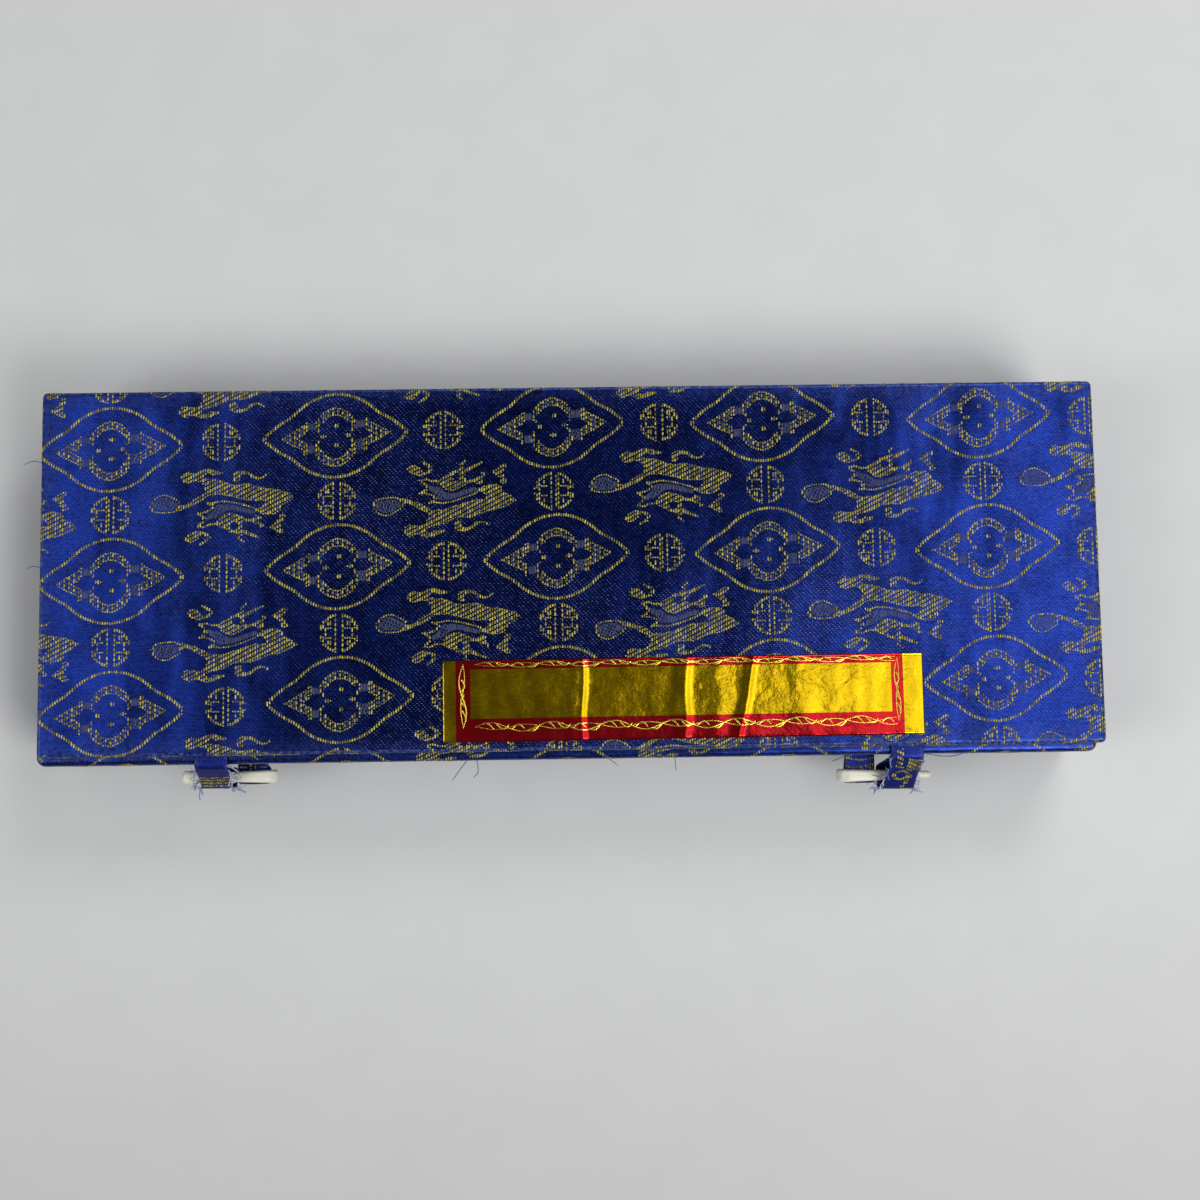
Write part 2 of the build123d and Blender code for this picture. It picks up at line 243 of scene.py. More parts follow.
def calc(tree, operation, *values, clamp=False):
    """One math node, and its result."""
    node = add(tree, "ShaderNodeMath", dict(enumerate(values)), operation=operation)
    node.use_clamp = clamp
    return node.outputs[0]


def blend_colours(tree, share, first, second):
    """A mix of two colours, and its result."""
    node = tree.nodes.new("ShaderNodeMix")
    node.data_type = "RGBA"
    wire(tree, node.inputs[0], share)
    wire(tree, node.inputs[6], first)
    wire(tree, node.inputs[7], second)
    return node.outputs[2]


def ramp(tree, value, low, high, to_low=0.0, to_high=1.0):
    """A value taken from one range to another, smoothly and within its ends."""
    node = add(
        tree, "ShaderNodeMapRange",
        {0: value, 1: low, 2: high, 3: to_low, 4: to_high}, interpolation_type="SMOOTHSTEP",
    )
    return node.outputs[0]


def noise(tree, place, scale, detail=2.0, roughness=0.5):
    node = add(
        tree, "ShaderNodeTexNoise",
        {"Vector": place, "Scale": scale, "Detail": detail, "Roughness": roughness},
    )
    return node.outputs["Fac"]


def scaled(tree, place, factors):
    """Coordinates with each axis times a factor."""
    node = add(tree, "ShaderNodeVectorMath", {0: place, 1: factors}, operation="MULTIPLY")
    return node.outputs[0]


def cloth_place(tree):
    """The cloth's own coordinates, in millimetres along its threads."""
    return add(tree, "ShaderNodeUVMap", uv_map="cloth").outputs[0]


def object_place(tree):
    return add(tree, "ShaderNodeTexCoord").outputs["Object"]


def mesh_value(tree, name):
    """A value that the mesh carries at each of its points."""
    return add(tree, "ShaderNodeAttribute", attribute_name=name).outputs["Fac"]


def new_material(name):
    """A material with a Principled shader. Returns the material, its tree and the shader."""
    material = bpy.data.materials.new(name)
    material.use_nodes = True
    tree = material.node_tree
    return material, tree, tree.nodes["Principled BSDF"]


def bump(tree, height, depth, strength=1.0, under=None):
    """A bump whose full height is depth millimetres, on the normal of another one if given."""
    node = add(tree, "ShaderNodeBump", {"Height": height, "Strength": strength})
    if under is not None:
        wire(tree, node.inputs["Normal"], under)
    node.inputs["Distance"].default_value = depth * MM
    return node.outputs["Normal"]


def new_group(name, inputs, outputs):
    """A shader node group with named sockets, and its input and output nodes."""
    group = bpy.data.node_groups.new(name, "ShaderNodeTree")
    for key, kind, value in inputs:
        socket = group.interface.new_socket(key, in_out="INPUT", socket_type=kind)
        if value is not None:
            socket.default_value = value
    for key, kind in outputs:
        group.interface.new_socket(key, in_out="OUTPUT", socket_type=kind)
    return group, group.nodes.new("NodeGroupInput"), group.nodes.new("NodeGroupOutput")


def use_group(tree, group, **inputs):
    node = tree.nodes.new("ShaderNodeGroup")
    node.node_tree = group
    for key, value in inputs.items():
        wire(tree, node.inputs[key.replace("_", " ")], value)
    return node


# %% [markdown]
# ## Shared effects
# The brocade's ground is a satin weave: fine blue threads run along the case, and a pale thread
# binds them in small staggered dots. The same weave is on the lid, walls, hinge and bands, so it
# is a node group. It reads the cloth's own coordinates in millimetres, so it turns corners with
# the cloth. Patches along edges (on the brocade partly wear and partly a painted highlight where
# the rounded edges catch the light) and long soft mottling are groups too.

# %% The satin ground as a node group
weave, enter, leave = new_group(
    "satin_ground",
    [("Place", "NodeSocketVector", None), ("Dot Pitch", "NodeSocketFloat", 1.2),
     ("Row Pitch", "NodeSocketFloat", 0.54)],
    [("Binding", "NodeSocketFloat"), ("Height", "NodeSocketFloat"), ("Mottle", "NodeSocketFloat"),
     ("Silk", "NodeSocketFloat")],
)
place = add(weave, "ShaderNodeSeparateXYZ", {0: enter.outputs["Place"]})
across, along = place.outputs[0], place.outputs[1]
drift = noise(weave, enter.outputs["Place"], 0.9, 2)
row = calc(weave, "DIVIDE", calc(weave, "ADD", along, calc(weave, "MULTIPLY", drift, 0.12)),
           enter.outputs["Row Pitch"])
row_number = calc(weave, "FLOOR", row)
step = calc(weave, "MULTIPLY_ADD", row_number, 0.4,
            calc(weave, "DIVIDE", across, enter.outputs["Dot Pitch"]))
from_dot_x = calc(weave, "SUBTRACT", calc(weave, "FRACT", step), 0.5)
from_dot_y = calc(weave, "SUBTRACT", calc(weave, "FRACT", row), 0.5)
reach = calc(weave, "SQRT", calc(
    weave, "ADD",
    calc(weave, "POWER", calc(weave, "ABSOLUTE", calc(weave, "MULTIPLY", from_dot_x, 3.4)), 2.0),
    calc(weave, "POWER", calc(weave, "ABSOLUTE", calc(weave, "MULTIPLY", from_dot_y, 2.5)), 2.0),
))
cell = add(weave, "ShaderNodeCombineXYZ", {0: calc(weave, "FLOOR", step), 1: row_number})
own = add(weave, "ShaderNodeTexWhiteNoise", {"Vector": cell.outputs[0]}, noise_dimensions="2D")
dots = calc(weave, "MULTIPLY", ramp(weave, reach, 1.02, 0.25),
            ramp(weave, own.outputs["Value"], 0.0, 0.9, 0.25, 1.25))
uneven = ramp(weave, noise(weave, enter.outputs["Place"], 0.45, 3), 0.3, 0.62, 0.35, 1.0)
faded = calc(
    weave, "MULTIPLY",
    ramp(weave, noise(weave, enter.outputs["Place"], 0.011, 2), 0.40, 0.56, 0.45, 1.0),
    ramp(weave, calc(weave, "ABSOLUTE", across), 60.0, 118.0, 1.0, 0.32))
binding = calc(weave, "MULTIPLY", calc(weave, "MULTIPLY", dots, uneven), faded)
wire(weave, leave.inputs["Binding"], binding)
ridge = calc(weave, "SINE", calc(weave, "MULTIPLY", along, 2 * math.pi / 0.27))
wire(weave, leave.inputs["Height"],
     calc(weave, "MULTIPLY_ADD", binding, 0.8, calc(weave, "MULTIPLY", ridge, 0.18)))
streaks = noise(weave, scaled(weave, enter.outputs["Place"], (0.14, 1.9, 1.0)), 1.0, 3, 0.6)
wire(weave, leave.inputs["Mottle"], calc(
    weave, "ADD", calc(weave, "MULTIPLY", noise(weave, enter.outputs["Place"], 0.09, 4, 0.6), 0.55),
    calc(weave, "MULTIPLY", streaks, 0.45)))
short = noise(weave, scaled(weave, enter.outputs["Place"], (0.75, 3.1, 1.0)), 1.0, 2, 0.6)
wire(weave, leave.inputs["Silk"], ramp(weave, short, 0.38, 0.62))
print("weave group:", len(weave.nodes), "nodes")

# %% Edge wear as a node group
# edge patches: on the brocade they paint wear and also a painted highlight along rounded edges; on
# the bone they are grime
wear, enter, leave = new_group(
    "edge_wear",
    [("Place", "NodeSocketVector", None), ("Edge", "NodeSocketFloat", 0.0),
     ("Scale", "NodeSocketFloat", 1.0)],
    [("Worn", "NodeSocketFloat")],
)
patches = noise(wear, enter.outputs["Place"], enter.outputs["Scale"], 4, 0.65)
wire(wear, leave.inputs["Worn"], calc(
    wear, "MULTIPLY", enter.outputs["Edge"], ramp(wear, patches, 0.38, 0.66), clamp=True))
print("wear group:", len(wear.nodes), "nodes")

# %% Fine grain and dust as a node group
grain, enter, leave = new_group(
    "fine_grain",
    [("Place", "NodeSocketVector", None), ("Stretch", "NodeSocketVector", (1, 1, 1)),
     ("Scale", "NodeSocketFloat", 400.0)],
    [("Streaks", "NodeSocketFloat"), ("Cloud", "NodeSocketFloat")],
)
stretched = scaled(grain, enter.outputs["Place"], enter.outputs["Stretch"])
wire(grain, leave.inputs["Streaks"], noise(grain, stretched, enter.outputs["Scale"], 4, 0.6))
wire(grain, leave.inputs["Cloud"], noise(grain, enter.outputs["Place"], calc(
    grain, "MULTIPLY", enter.outputs["Scale"], 0.08), 3))
print("grain group:", len(grain.nodes), "nodes")

# %% [markdown]
# ## Cloth, thread, foil, bone, satin and board
# Each finish below is one material. Silk brocade is dark where it mirrors nothing and bright blue
# where it catches the lights, so its ground is half metallic. The binding dots are dull cotton.

# %% Blue brocade ground


def brocade(name, ground, lustre=0.95, roughness=0.15, dots=0.6):
    material, tree, shader = new_material(name)
    cloth = cloth_place(tree)
    weaving = use_group(tree, weave, Place=cloth)
    edge = mesh_value(tree, "edge")
    wear_and_edge_highlight = use_group(tree, wear, Place=cloth, Edge=edge, Scale=0.8).outputs[0]
    lightness = calc(tree, "ADD", calc(
        tree, "MULTIPLY", ramp(tree, weaving.outputs["Mottle"], 0.38, 0.62), 0.5),
        calc(tree, "MULTIPLY", weaving.outputs["Silk"], 0.5))
    mottled = blend_colours(
        tree, lightness,
        tuple(c * 0.4 for c in ground) + (1,), tuple(min(c * 1.7, 1) for c in ground) + (1,))
    dotted = blend_colours(
        tree, calc(tree, "MULTIPLY", weaving.outputs["Binding"], dots),
        mottled, (0.125, 0.128, 0.215, 1))
    # painted highlight and wear: along the edges the colour is lightened to pale blue, partly wear
    # and partly light caught by the rounded edges
    wire(tree, shader.inputs["Base Color"], blend_colours(
        tree, calc(tree, "MULTIPLY", wear_and_edge_highlight, 0.55), dotted, (0.07, 0.11, 0.26, 1)))
    wire(tree, shader.inputs["Metallic"], calc(
        tree, "SUBTRACT", lustre, calc(
            tree, "MULTIPLY", calc(tree, "MAXIMUM", weaving.outputs["Binding"], wear_and_edge_highlight), lustre),
        clamp=True))
    wire(tree, shader.inputs["Roughness"], calc(
        tree, "ADD", calc(tree, "MULTIPLY_ADD", edge, 0.35, roughness),
        calc(tree, "MULTIPLY", weaving.outputs["Mottle"], 0.12)))
    slack = noise(tree, scaled(tree, cloth, (0.055, 0.022, 1.0)), 1.0, 2, 0.45)
    cockled = bump(tree, slack, 0.75)
    wire(tree, shader.inputs["Normal"], bump(tree, weaving.outputs["Height"], 0.012, under=cockled))
    return material


ground_blue = (0.0055, 0.019, 0.165)
brocade_blue = brocade("blue_brocade", ground_blue)
band_blue = brocade("band_brocade", (0.004, 0.014, 0.16), lustre=0.8, roughness=0.36, dots=0.3)
print("brocades:", brocade_blue.name, band_blue.name)

# %% Gold and pale threads


def thread_finish(name, dark, bright, metallic, roughness):
    """A twisted thread. Each float of it has its own tone."""
    material, tree, shader = new_material(name)
    tone = mesh_value(tree, "tone")
    here = object_place(tree)
    twist = noise(tree, here, 2600.0, 2, 0.6)
    share = calc(tree, "ADD", calc(tree, "MULTIPLY_ADD", tone, 1.0, -0.2),
                 calc(tree, "MULTIPLY", twist, 0.45), clamp=True)
    wire(tree, shader.inputs["Base Color"],
         blend_colours(tree, share, dark + (1,), bright + (1,)))
    shader.inputs["Metallic"].default_value = metallic
    wire(tree, shader.inputs["Roughness"], calc(
        tree, "ADD", roughness, calc(tree, "MULTIPLY", twist, 0.15)))
    wire(tree, shader.inputs["Normal"], bump(tree, twist, 0.06))
    return material


gold_thread = thread_finish("gold_thread", (0.075, 0.064, 0.008), (0.46, 0.41, 0.045), 0.35, 0.33)
pale_thread = thread_finish("pale_thread", (0.018, 0.025, 0.066), (0.052, 0.064, 0.135), 0.1, 0.55)
fray_thread = thread_finish("fray_thread", (0.10, 0.13, 0.30), (0.55, 0.58, 0.66), 0.0, 0.6)
blue_thread = thread_finish("blue_thread", (0.02, 0.03, 0.13), (0.09, 0.12, 0.34), 0.1, 0.5)
GOLD = (gold_thread, 0.50, 0.17)  # finish of a float, its width and its height
BOLD_GOLD = (gold_thread, 0.62, 0.17)
PALE = (pale_thread, 0.34, 0.10)
print("threads:", gold_thread.name, pale_thread.name, fray_thread.name)

# %% Foil paper for the label


def foil_finish(name, field, border):
    """Gilt paper with a printed lacquer. The print attribute is 1 where it is lacquered."""
    material, tree, shader = new_material(name)
    cloth = cloth_place(tree)
    lacquer = ramp(tree, mesh_value(tree, "print"), 0.45, 0.55)
    marbling = add(tree, "ShaderNodeTexWave", {"Vector": cloth, "Scale": 0.05, "Distortion": 9.0,
                                               "Detail": 3.0, "Detail Scale": 0.5})
    dull = use_group(tree, grain, Place=cloth, Stretch=(1, 4, 1), Scale=0.4)
    blotches = noise(tree, cloth, 0.13, 4, 0.55)
    field_now = blend_colours(
        tree, calc(tree, "MULTIPLY", marbling.outputs["Fac"], 0.8),
        field + (1,), tuple(c * 0.72 for c in field) + (1,))
    wire(tree, shader.inputs["Base Color"], blend_colours(tree, lacquer, field_now, border + (1,)))
    wire(tree, shader.inputs["Metallic"], calc(
        tree, "SUBTRACT", 0.97, calc(tree, "MULTIPLY", lacquer, 0.09)))
    wire(tree, shader.inputs["Roughness"], calc(
        tree, "ADD", calc(tree, "MULTIPLY", dull.outputs["Streaks"], 0.18),
        calc(tree, "MULTIPLY_ADD", blotches, 0.22, -0.02)))
    wire(tree, shader.inputs["Normal"], bump(tree, blotches, 0.42, 0.7))
    return material


label_finish = foil_finish("label_foil", (0.72, 0.47, 0.006), (0.44, 0.008, 0.014))
scroll_finish, tree, shader = new_material("gilt_scroll")
here = object_place(tree)
flecks = use_group(tree, grain, Place=here, Scale=900.0)
wire(tree, shader.inputs["Base Color"], blend_colours(
    tree, flecks.outputs["Streaks"], (0.5, 0.38, 0.03, 1), (0.95, 0.84, 0.1, 1)))
shader.inputs["Metallic"].default_value = 0.9
wire(tree, shader.inputs["Roughness"], calc(
    tree, "MULTIPLY_ADD", flecks.outputs["Streaks"], 0.2, 0.15))
print("foil:", label_finish.name, scroll_finish.name)

# %% Bone
bone_finish, tree, shader = new_material("polished_bone")
here = object_place(tree)
fibres = use_group(tree, grain, Place=here, Stretch=(0.12, 1, 1), Scale=1500.0)
edge = mesh_value(tree, "edge")
ivory = blend_colours(tree, fibres.outputs["Streaks"], (0.62, 0.60, 0.48, 1), (0.80, 0.79, 0.68, 1))
grime = use_group(tree, wear, Place=here, Edge=edge, Scale=500.0).outputs[0]
wire(tree, shader.inputs["Base Color"], blend_colours(
    tree, calc(tree, "MULTIPLY", grime, 0.5), ivory, (0.40, 0.36, 0.25, 1)))
wire(tree, shader.inputs["Roughness"], calc(
    tree, "MULTIPLY_ADD", fibres.outputs["Cloud"], 0.25, 0.22))
wire(tree, shader.inputs["Normal"], bump(tree, fibres.outputs["Streaks"], 0.03))
shader.inputs["Subsurface Weight"].default_value = 0.12
shader.inputs["Subsurface Radius"].default_value = (0.0012, 0.001, 0.0007)
print("bone:", bone_finish.name)

# %% Satin, board, card and foam


def plain_finish(name, low, high, roughness, scale, stretch=(1, 1, 1), depth=0.05, metallic=0.0):
    """A finish with streaks and clouds in two tones, on the object's own coordinates."""
    material, tree, shader = new_material(name)
    here = object_place(tree)
    marks = use_group(tree, grain, Place=here, Stretch=stretch, Scale=scale)
    share = calc(tree, "ADD", calc(tree, "MULTIPLY", marks.outputs["Streaks"], 0.6),
                 calc(tree, "MULTIPLY", marks.outputs["Cloud"], 0.4))
    wire(tree, shader.inputs["Base Color"], blend_colours(
        tree, ramp(tree, share, 0.3, 0.7), low + (1,), high + (1,)))
    wire(tree, shader.inputs["Roughness"], calc(
        tree, "MULTIPLY_ADD", marks.outputs["Cloud"], 0.2, roughness))
    wire(tree, shader.inputs["Normal"], bump(tree, marks.outputs["Streaks"], depth))
    shader.inputs["Metallic"].default_value = metallic
    return material


satin_finish = plain_finish(
    "gold_satin", (0.53, 0.405, 0.145), (0.63, 0.49, 0.20), 0.25, 1300.0, (0.12, 1, 1), 0.02, 0.35)
satin_finish.node_tree.nodes["Principled BSDF"].inputs["Sheen Weight"].default_value = 0.3
board_finish = plain_finish(
    "grey_board", (0.24, 0.22, 0.19), (0.34, 0.32, 0.28), 0.8, 900.0, (1, 1, 1), 0.08)
card_finish = plain_finish(
    "faced_card", (0.010, 0.016, 0.055), (0.018, 0.028, 0.085), 0.6, 800.0, (1, 0.4, 1), 0.04)
foam_finish = plain_finish(
    "soft_foam", (0.62, 0.58, 0.48), (0.75, 0.71, 0.62), 0.85, 1500.0, (1, 1, 1), 0.15)
print("plain finishes:", satin_finish.name, board_finish.name, card_finish.name, foam_finish.name)

# %% [markdown]
# ## The floor
# A sheet of plain grey paper. Its colour is darkened towards the front, a painted shade for the
# light falling off there. It is part of the stage and not of the case.

# %% Floor
floor_finish, tree, shader = new_material("studio_paper")
here = object_place(tree)
paper = use_group(tree, grain, Place=here, Scale=600.0)
# painted shade: the floor's colour is blended darker towards the front
painted_shade_towards_front = ramp(tree, add(tree, "ShaderNodeSeparateXYZ", {0: here}).outputs[1], -0.04, -0.24)
clouded = blend_colours(
    tree, paper.outputs["Cloud"], (0.525, 0.53, 0.53, 1), (0.565, 0.57, 0.57, 1))
wire(tree, shader.inputs["Base Color"], blend_colours(
    tree, calc(tree, "MULTIPLY", painted_shade_towards_front, 0.55), clouded, (0.36, 0.363, 0.358, 1)))
shader.inputs["Roughness"].default_value = 0.9
shader.inputs["Specular IOR Level"].default_value = 0.1
surface_end = tree.nodes["Material Output"]
distance = add(tree, "ShaderNodeVectorMath", {0: here}, operation="LENGTH").outputs["Value"]
far = ramp(tree, distance, 0.35, 1.3)
camera_sees = add(tree, "ShaderNodeLightPath").outputs["Is Camera Ray"]
glow = add(tree, "ShaderNodeEmission", {"Color": (0.56, 0.565, 0.565, 1)})
both = add(tree, "ShaderNodeMixShader", {
    0: calc(tree, "MULTIPLY", far, camera_sees), 1: shader.outputs[0], 2: glow.outputs[0]})
wire(tree, surface_end.inputs["Surface"], both.outputs[0])
reach = 3000
floor = make_piece(
    "studio_floor",
    [(x * reach, y * reach, 0) for x, y in ((-1, -1), (1, -1), (1, 1), (-1, 1))],
    [(0, 1, 2, 3)], floor_finish)
print("floor", 2 * reach, "mm square")

# %% [markdown]
# ## The brocade's pattern
# The figure is a common one on silk for scroll mounts: pointed ogees with a lobed frame inside,
# round longevity marks above and below each ogee, and small running dragons between. Gold threads
# lie on the cloth in short floats, side by side. So the pattern is first drawn as outlines, then
# read off at every gold thread, and each stretch of gold becomes a row of floats.

# %% Outlines of the figure, in millimetres about each figure's middle
OGEE = [(0, 0), (1.0, 1.2), (2.2, 2.3), (3.6, 3.4), (5.1, 4.4), (6.9, 5.4), (7.9, 6.05),
        (8.9, 6.85), (9.7, 7.6), (10.9, 8.6), (12.3, 9.6), (13.9, 10.45), (15.8, 11.2),
        (17.6, 11.7), (20.3, 11.95)]
OGEE_HALF = 20.3
FRAME_TOP = [(-4.7, 1.3), (-5.4, 3.4), (-4.8, 5.1), (-3.2, 6.8), (-1.3, 7.8), (0.6, 7.9),
             (2.7, 7.0), (4.6, 5.2), (5.4, 3.4), (4.7, 1.2)]
FRAME_TOP_IN = [(-3.8, 3.9), (-2.5, 5.3), (-0.9, 5.9), (0.8, 5.9), (2.5, 5.2), (3.9, 3.9)]
FRAME_LOW = [(-4.9, -1.4), (-5.6, -3.6), (-5.2, -5.6), (-3.6, -7.5), (-1.4, -8.6), (0.8, -8.7),
             (3.0, -7.7), (4.9, -5.8), (5.4, -3.6), (4.6, -1.0)]
FRAME_LOW_IN = [(-4.1, -4.0), (-2.7, -5.8), (-0.9, -6.7), (0.9, -6.7), (2.7, -5.8), (4.1, -4.0)]
ARROW_OUT = [(8.9, 3.9), (12.0, 2.2), (15.3, 0.3), (12.2, -1.6), (9.0, -3.1)]
ARROW_IN = [(8.8, 1.4), (11.0, 0.2), (8.9, -1.2)]
BODY = [
    (-11.7, -0.3), (-8.1, -1.4), (-5.9, -2.4), (-4.0, -3.8), (-0.5, -3.7), (2.8, -2.7),
    (6.0, -1.5), (9.0, -0.9), (11.4, -0.9), (11.8, -0.3), (10.9, 0.7), (9.3, 1.1), (10.4, 2.7),
    (12.8, 3.4), (15.0, 3.3), (16.4, 2.3), (16.6, 1.1), (18.8, 0.1), (20.5, -1.5), (19.0, -2.6),
    (16.9, -3.5), (14.4, -4.3), (12.0, -4.7), (9.5, -5.6), (7.4, -6.6), (4.4, -6.4), (2.2, -6.8),
    (0.1, -7.9), (-2.1, -8.7), (-4.8, -9.1), (-5.9, -7.9), (-4.8, -6.2), (-5.1, -4.9),
    (-7.0, -4.1), (-9.2, -2.8), (-10.8, -2.2), (-11.9, -2.4), (-13.0, -1.4), (-14.0, -0.5)]
FLAME = [(-20.3, -2.4), (-19.5, -1.1), (-17.6, -0.5), (-15.1, -0.3), (-13.0, -0.5), (-12.1, -1.9),
         (-12.4, -3.3), (-14.0, -4.3), (-16.2, -5.4), (-18.6, -4.9), (-19.7, -3.8), (-20.3, -2.4)]
FOOT = [(-11.2, -8.4), (-9.7, -7.9), (-7.5, -8.3), (-5.9, -7.9), (-3.7, -8.9), (-5.4, -9.5),
        (-4.3, -10.3), (-2.7, -9.5), (-0.2, -9.5), (0.1, -10.3), (-1.6, -11.1), (-3.7, -11.9),
        (-5.4, -11.9), (-7.5, -11.1), (-8.9, -11.1), (-9.7, -11.8), (-11.1, -11.1), (-11.9, -10.3)]
PAW = [(2.8, -7.3), (4.1, -6.8), (4.9, -7.3), (4.9, -8.7), (6.3, -8.9), (7.6, -8.4), (8.2, -7.5),
       (10.1, -7.0), (11.7, -7.3), (12.8, -8.4), (12.2, -8.8), (11.2, -8.0), (9.8, -8.1),
       (8.7, -8.9), (7.6, -9.8), (5.7, -10.4), (3.8, -10.3), (2.8, -9.5)]
FACE = [
    (-2.1, 4.6), (-0.5, 5.7), (1.4, 6.5), (2.0, 7.3), (3.3, 7.6), (4.7, 8.4), (4.0, 9.1),
    (4.9, 9.8), (6.0, 10.7), (6.2, 10.0), (5.2, 8.9), (5.7, 8.0), (8.2, 9.1), (10.6, 9.9),
    (10.9, 9.3), (9.3, 8.3), (7.4, 7.2), (6.0, 6.4), (5.7, 5.6), (6.0, 4.6), (8.2, 4.9),
    (9.3, 5.6), (10.4, 6.0), (10.4, 6.9), (11.4, 6.9), (11.6, 6.0), (10.8, 4.9), (10.9, 3.5),
    (9.5, 2.8), (8.2, 3.8), (6.8, 3.4), (5.5, 2.7), (3.8, 1.9), (1.7, 1.2), (0.1, 1.8),
    (-1.0, 2.7), (-1.7, 3.5)]
MANE = [(-4.8, 3.5), (-1.6, 2.7), (0.1, 1.6), (2.8, 1.1), (5.5, 2.0), (8.5, 2.7), (9.3, 1.9),
        (8.7, 1.1), (6.0, 0.1), (3.3, -1.1), (0.3, -1.4), (-2.1, -1.1), (-2.7, 0.0), (-4.3, 1.4)]
MANE_EDGE = [(-4.3, -2.0), (-2.7, -1.8), (-0.5, -2.0), (2.0, -1.6), (4.4, -0.9), (6.6, -0.1),
             (9.0, 0.9), (9.9, 2.0)]
SPIKE_TOP = [(-6.9, 4.6), (-5.1, 4.9), (-3.7, 4.3), (-2.1, 4.3)]
SPIKE_LOW = [(-6.7, 4.2), (-5.4, 3.3), (-5.1, 2.2), (-7.0, 0.8), (-5.4, 0.8), (-3.5, 0.3),
             (-2.7, -0.8), (-4.3, -1.9)]
CURL = [(-10.7, 7.9), (-10.0, 8.8), (-8.6, 9.1), (-7.3, 8.5), (-6.3, 7.5), (-5.5, 6.9),
        (-4.8, 7.7), (-5.0, 8.5), (-6.2, 9.2), (-6.4, 10.2), (-5.4, 9.9), (-4.0, 9.2),
        (-3.3, 7.9), (-4.0, 6.6), (-5.6, 6.0), (-7.1, 5.6), (-8.6, 6.0), (-10.0, 6.6)]
FAN = [(17.4, 9.3), (17.5, 8.1), (16.9, 7.3), (16.6, 6.2), (17.7, 4.3), (17.4, 3.3), (16.0, 3.3),
       (15.5, 4.9), (13.9, 6.0), (13.2, 7.0), (14.7, 7.9), (16.0, 8.9)]

BARS = ((8.2, 9.1, 1.3, 4.9), (8.0, 9.0, -4.8, -1.0), (-8.8, -7.9, 1.4, 4.3),
        (-9.1, -8.1, -5.2, -1.5))
SQUARES = ((5.3, 8.2, 1.6, 4.5), (5.2, 8.0, -4.6, -1.2), (-7.9, -5.4, 1.6, 4.2),
           (-8.1, -5.7, -5.0, -2.0))
OGEE_DOTS = ((0.4, 2.9), (-3.5, -0.1), (3.5, 0.0), (0.3, -2.7))

# %% Tests for points in an outline, near a line or in a box


def soften(line, steps=4):
    """The same line with its corners rounded, through the same points."""
    points = np.array(line)
    before = np.vstack((2 * points[0] - points[1], points, 2 * points[-1] - points[-2]))
    out = []
    for a, b, c, d in zip(before, before[1:], before[2:], before[3:]):
        for t in np.arange(steps) / steps:
            out.append(0.5 * (2 * b + (c - a) * t + (2 * a - 5 * b + 4 * c - d) * t * t
                              + (3 * b - a - 3 * c + d) * t ** 3))
    return [tuple(p) for p in out] + [tuple(points[-1])]


FRAME_TOP, FRAME_TOP_IN, FRAME_LOW, FRAME_LOW_IN, FLAME, CURL, FAN, MANE, MANE_EDGE = (
    soften(line, 3) for line in (
        FRAME_TOP, FRAME_TOP_IN, FRAME_LOW, FRAME_LOW_IN, FLAME, CURL, FAN, MANE, MANE_EDGE))


def within(outline, x, y):
    """Which points lie inside a closed outline."""
    found = np.zeros(x.shape, bool)
    for (x1, y1), (x2, y2) in zip(outline, outline[1:] + outline[:1]):
        if y1 != y2:
            crosses = (y1 > y) != (y2 > y)
            found ^= crosses & (x < (x2 - x1) * (y - y1) / (y2 - y1) + x1)
    return found


def near(line, x, y, width):
    """Which points lie within half a width of a line."""
    found = np.zeros(x.shape, bool)
    for (x1, y1), (x2, y2) in zip(line, line[1:]):
        dx, dy = x2 - x1, y2 - y1
        t = np.clip(((x - x1) * dx + (y - y1) * dy) / max(dx * dx + dy * dy, 1e-9), 0, 1)
        found |= np.hypot(x - x1 - t * dx, y - y1 - t * dy) < width / 2
    return found


def box_of(x, y, x1, x2, y1, y2):
    return (x > x1) & (x < x2) & (y > y1) & (y < y2)


# %% The three figures
GOLD_PITCH, GOLD_FLOAT = 0.68, 1.35
WEFT_TILT = 0.045  # the weft of this cloth rises to the right; the dragon's outlines have it


def ogee(x, y):
    """The pointed frame, with the lobed frame, arrowheads and dots inside it."""
    y = y - WEFT_TILT * x
    dx = [p[0] for p in OGEE]
    dy = [p[1] for p in OGEE]
    height = np.interp(OGEE_HALF - np.abs(x), dx, dy)
    slope = np.hypot(1, np.interp(OGEE_HALF - np.abs(x), dx, np.gradient(dy, dx)))
    gold = (np.abs(np.abs(y) - height) < 0.6 * slope) & (np.abs(x) < OGEE_HALF + 0.3)
    for line in (FRAME_TOP, FRAME_TOP_IN, FRAME_LOW, FRAME_LOW_IN):
        gold |= near(line, x, y, 0.75)
    left = [(-px, py - 0.5) for px, py in ARROW_OUT]
    left_in = [(-px, py - 0.5) for px, py in ARROW_IN]
    for line in (ARROW_OUT, ARROW_IN, left, left_in):
        gold |= near(line, x, y, 0.7)
    for bar in BARS:
        gold |= box_of(x, y, *bar)
    for dot in OGEE_DOTS:
        gold |= np.hypot(x - dot[0], y - dot[1]) < 0.85
    pale = within(FRAME_TOP[1:-1] + FRAME_TOP_IN[::-1], x, y)
    pale |= within(FRAME_LOW[1:-1] + FRAME_LOW_IN[::-1], x, y)
    pale |= within(ARROW_OUT + ARROW_IN[::-1], x, y) | within(left + left_in[::-1], x, y)
    gold |= pale & (np.mod(x, 2 * GOLD_PITCH) < GOLD_PITCH)
    for square in SQUARES:
        pale |= box_of(x, y, *square)
    return gold, pale & ~gold


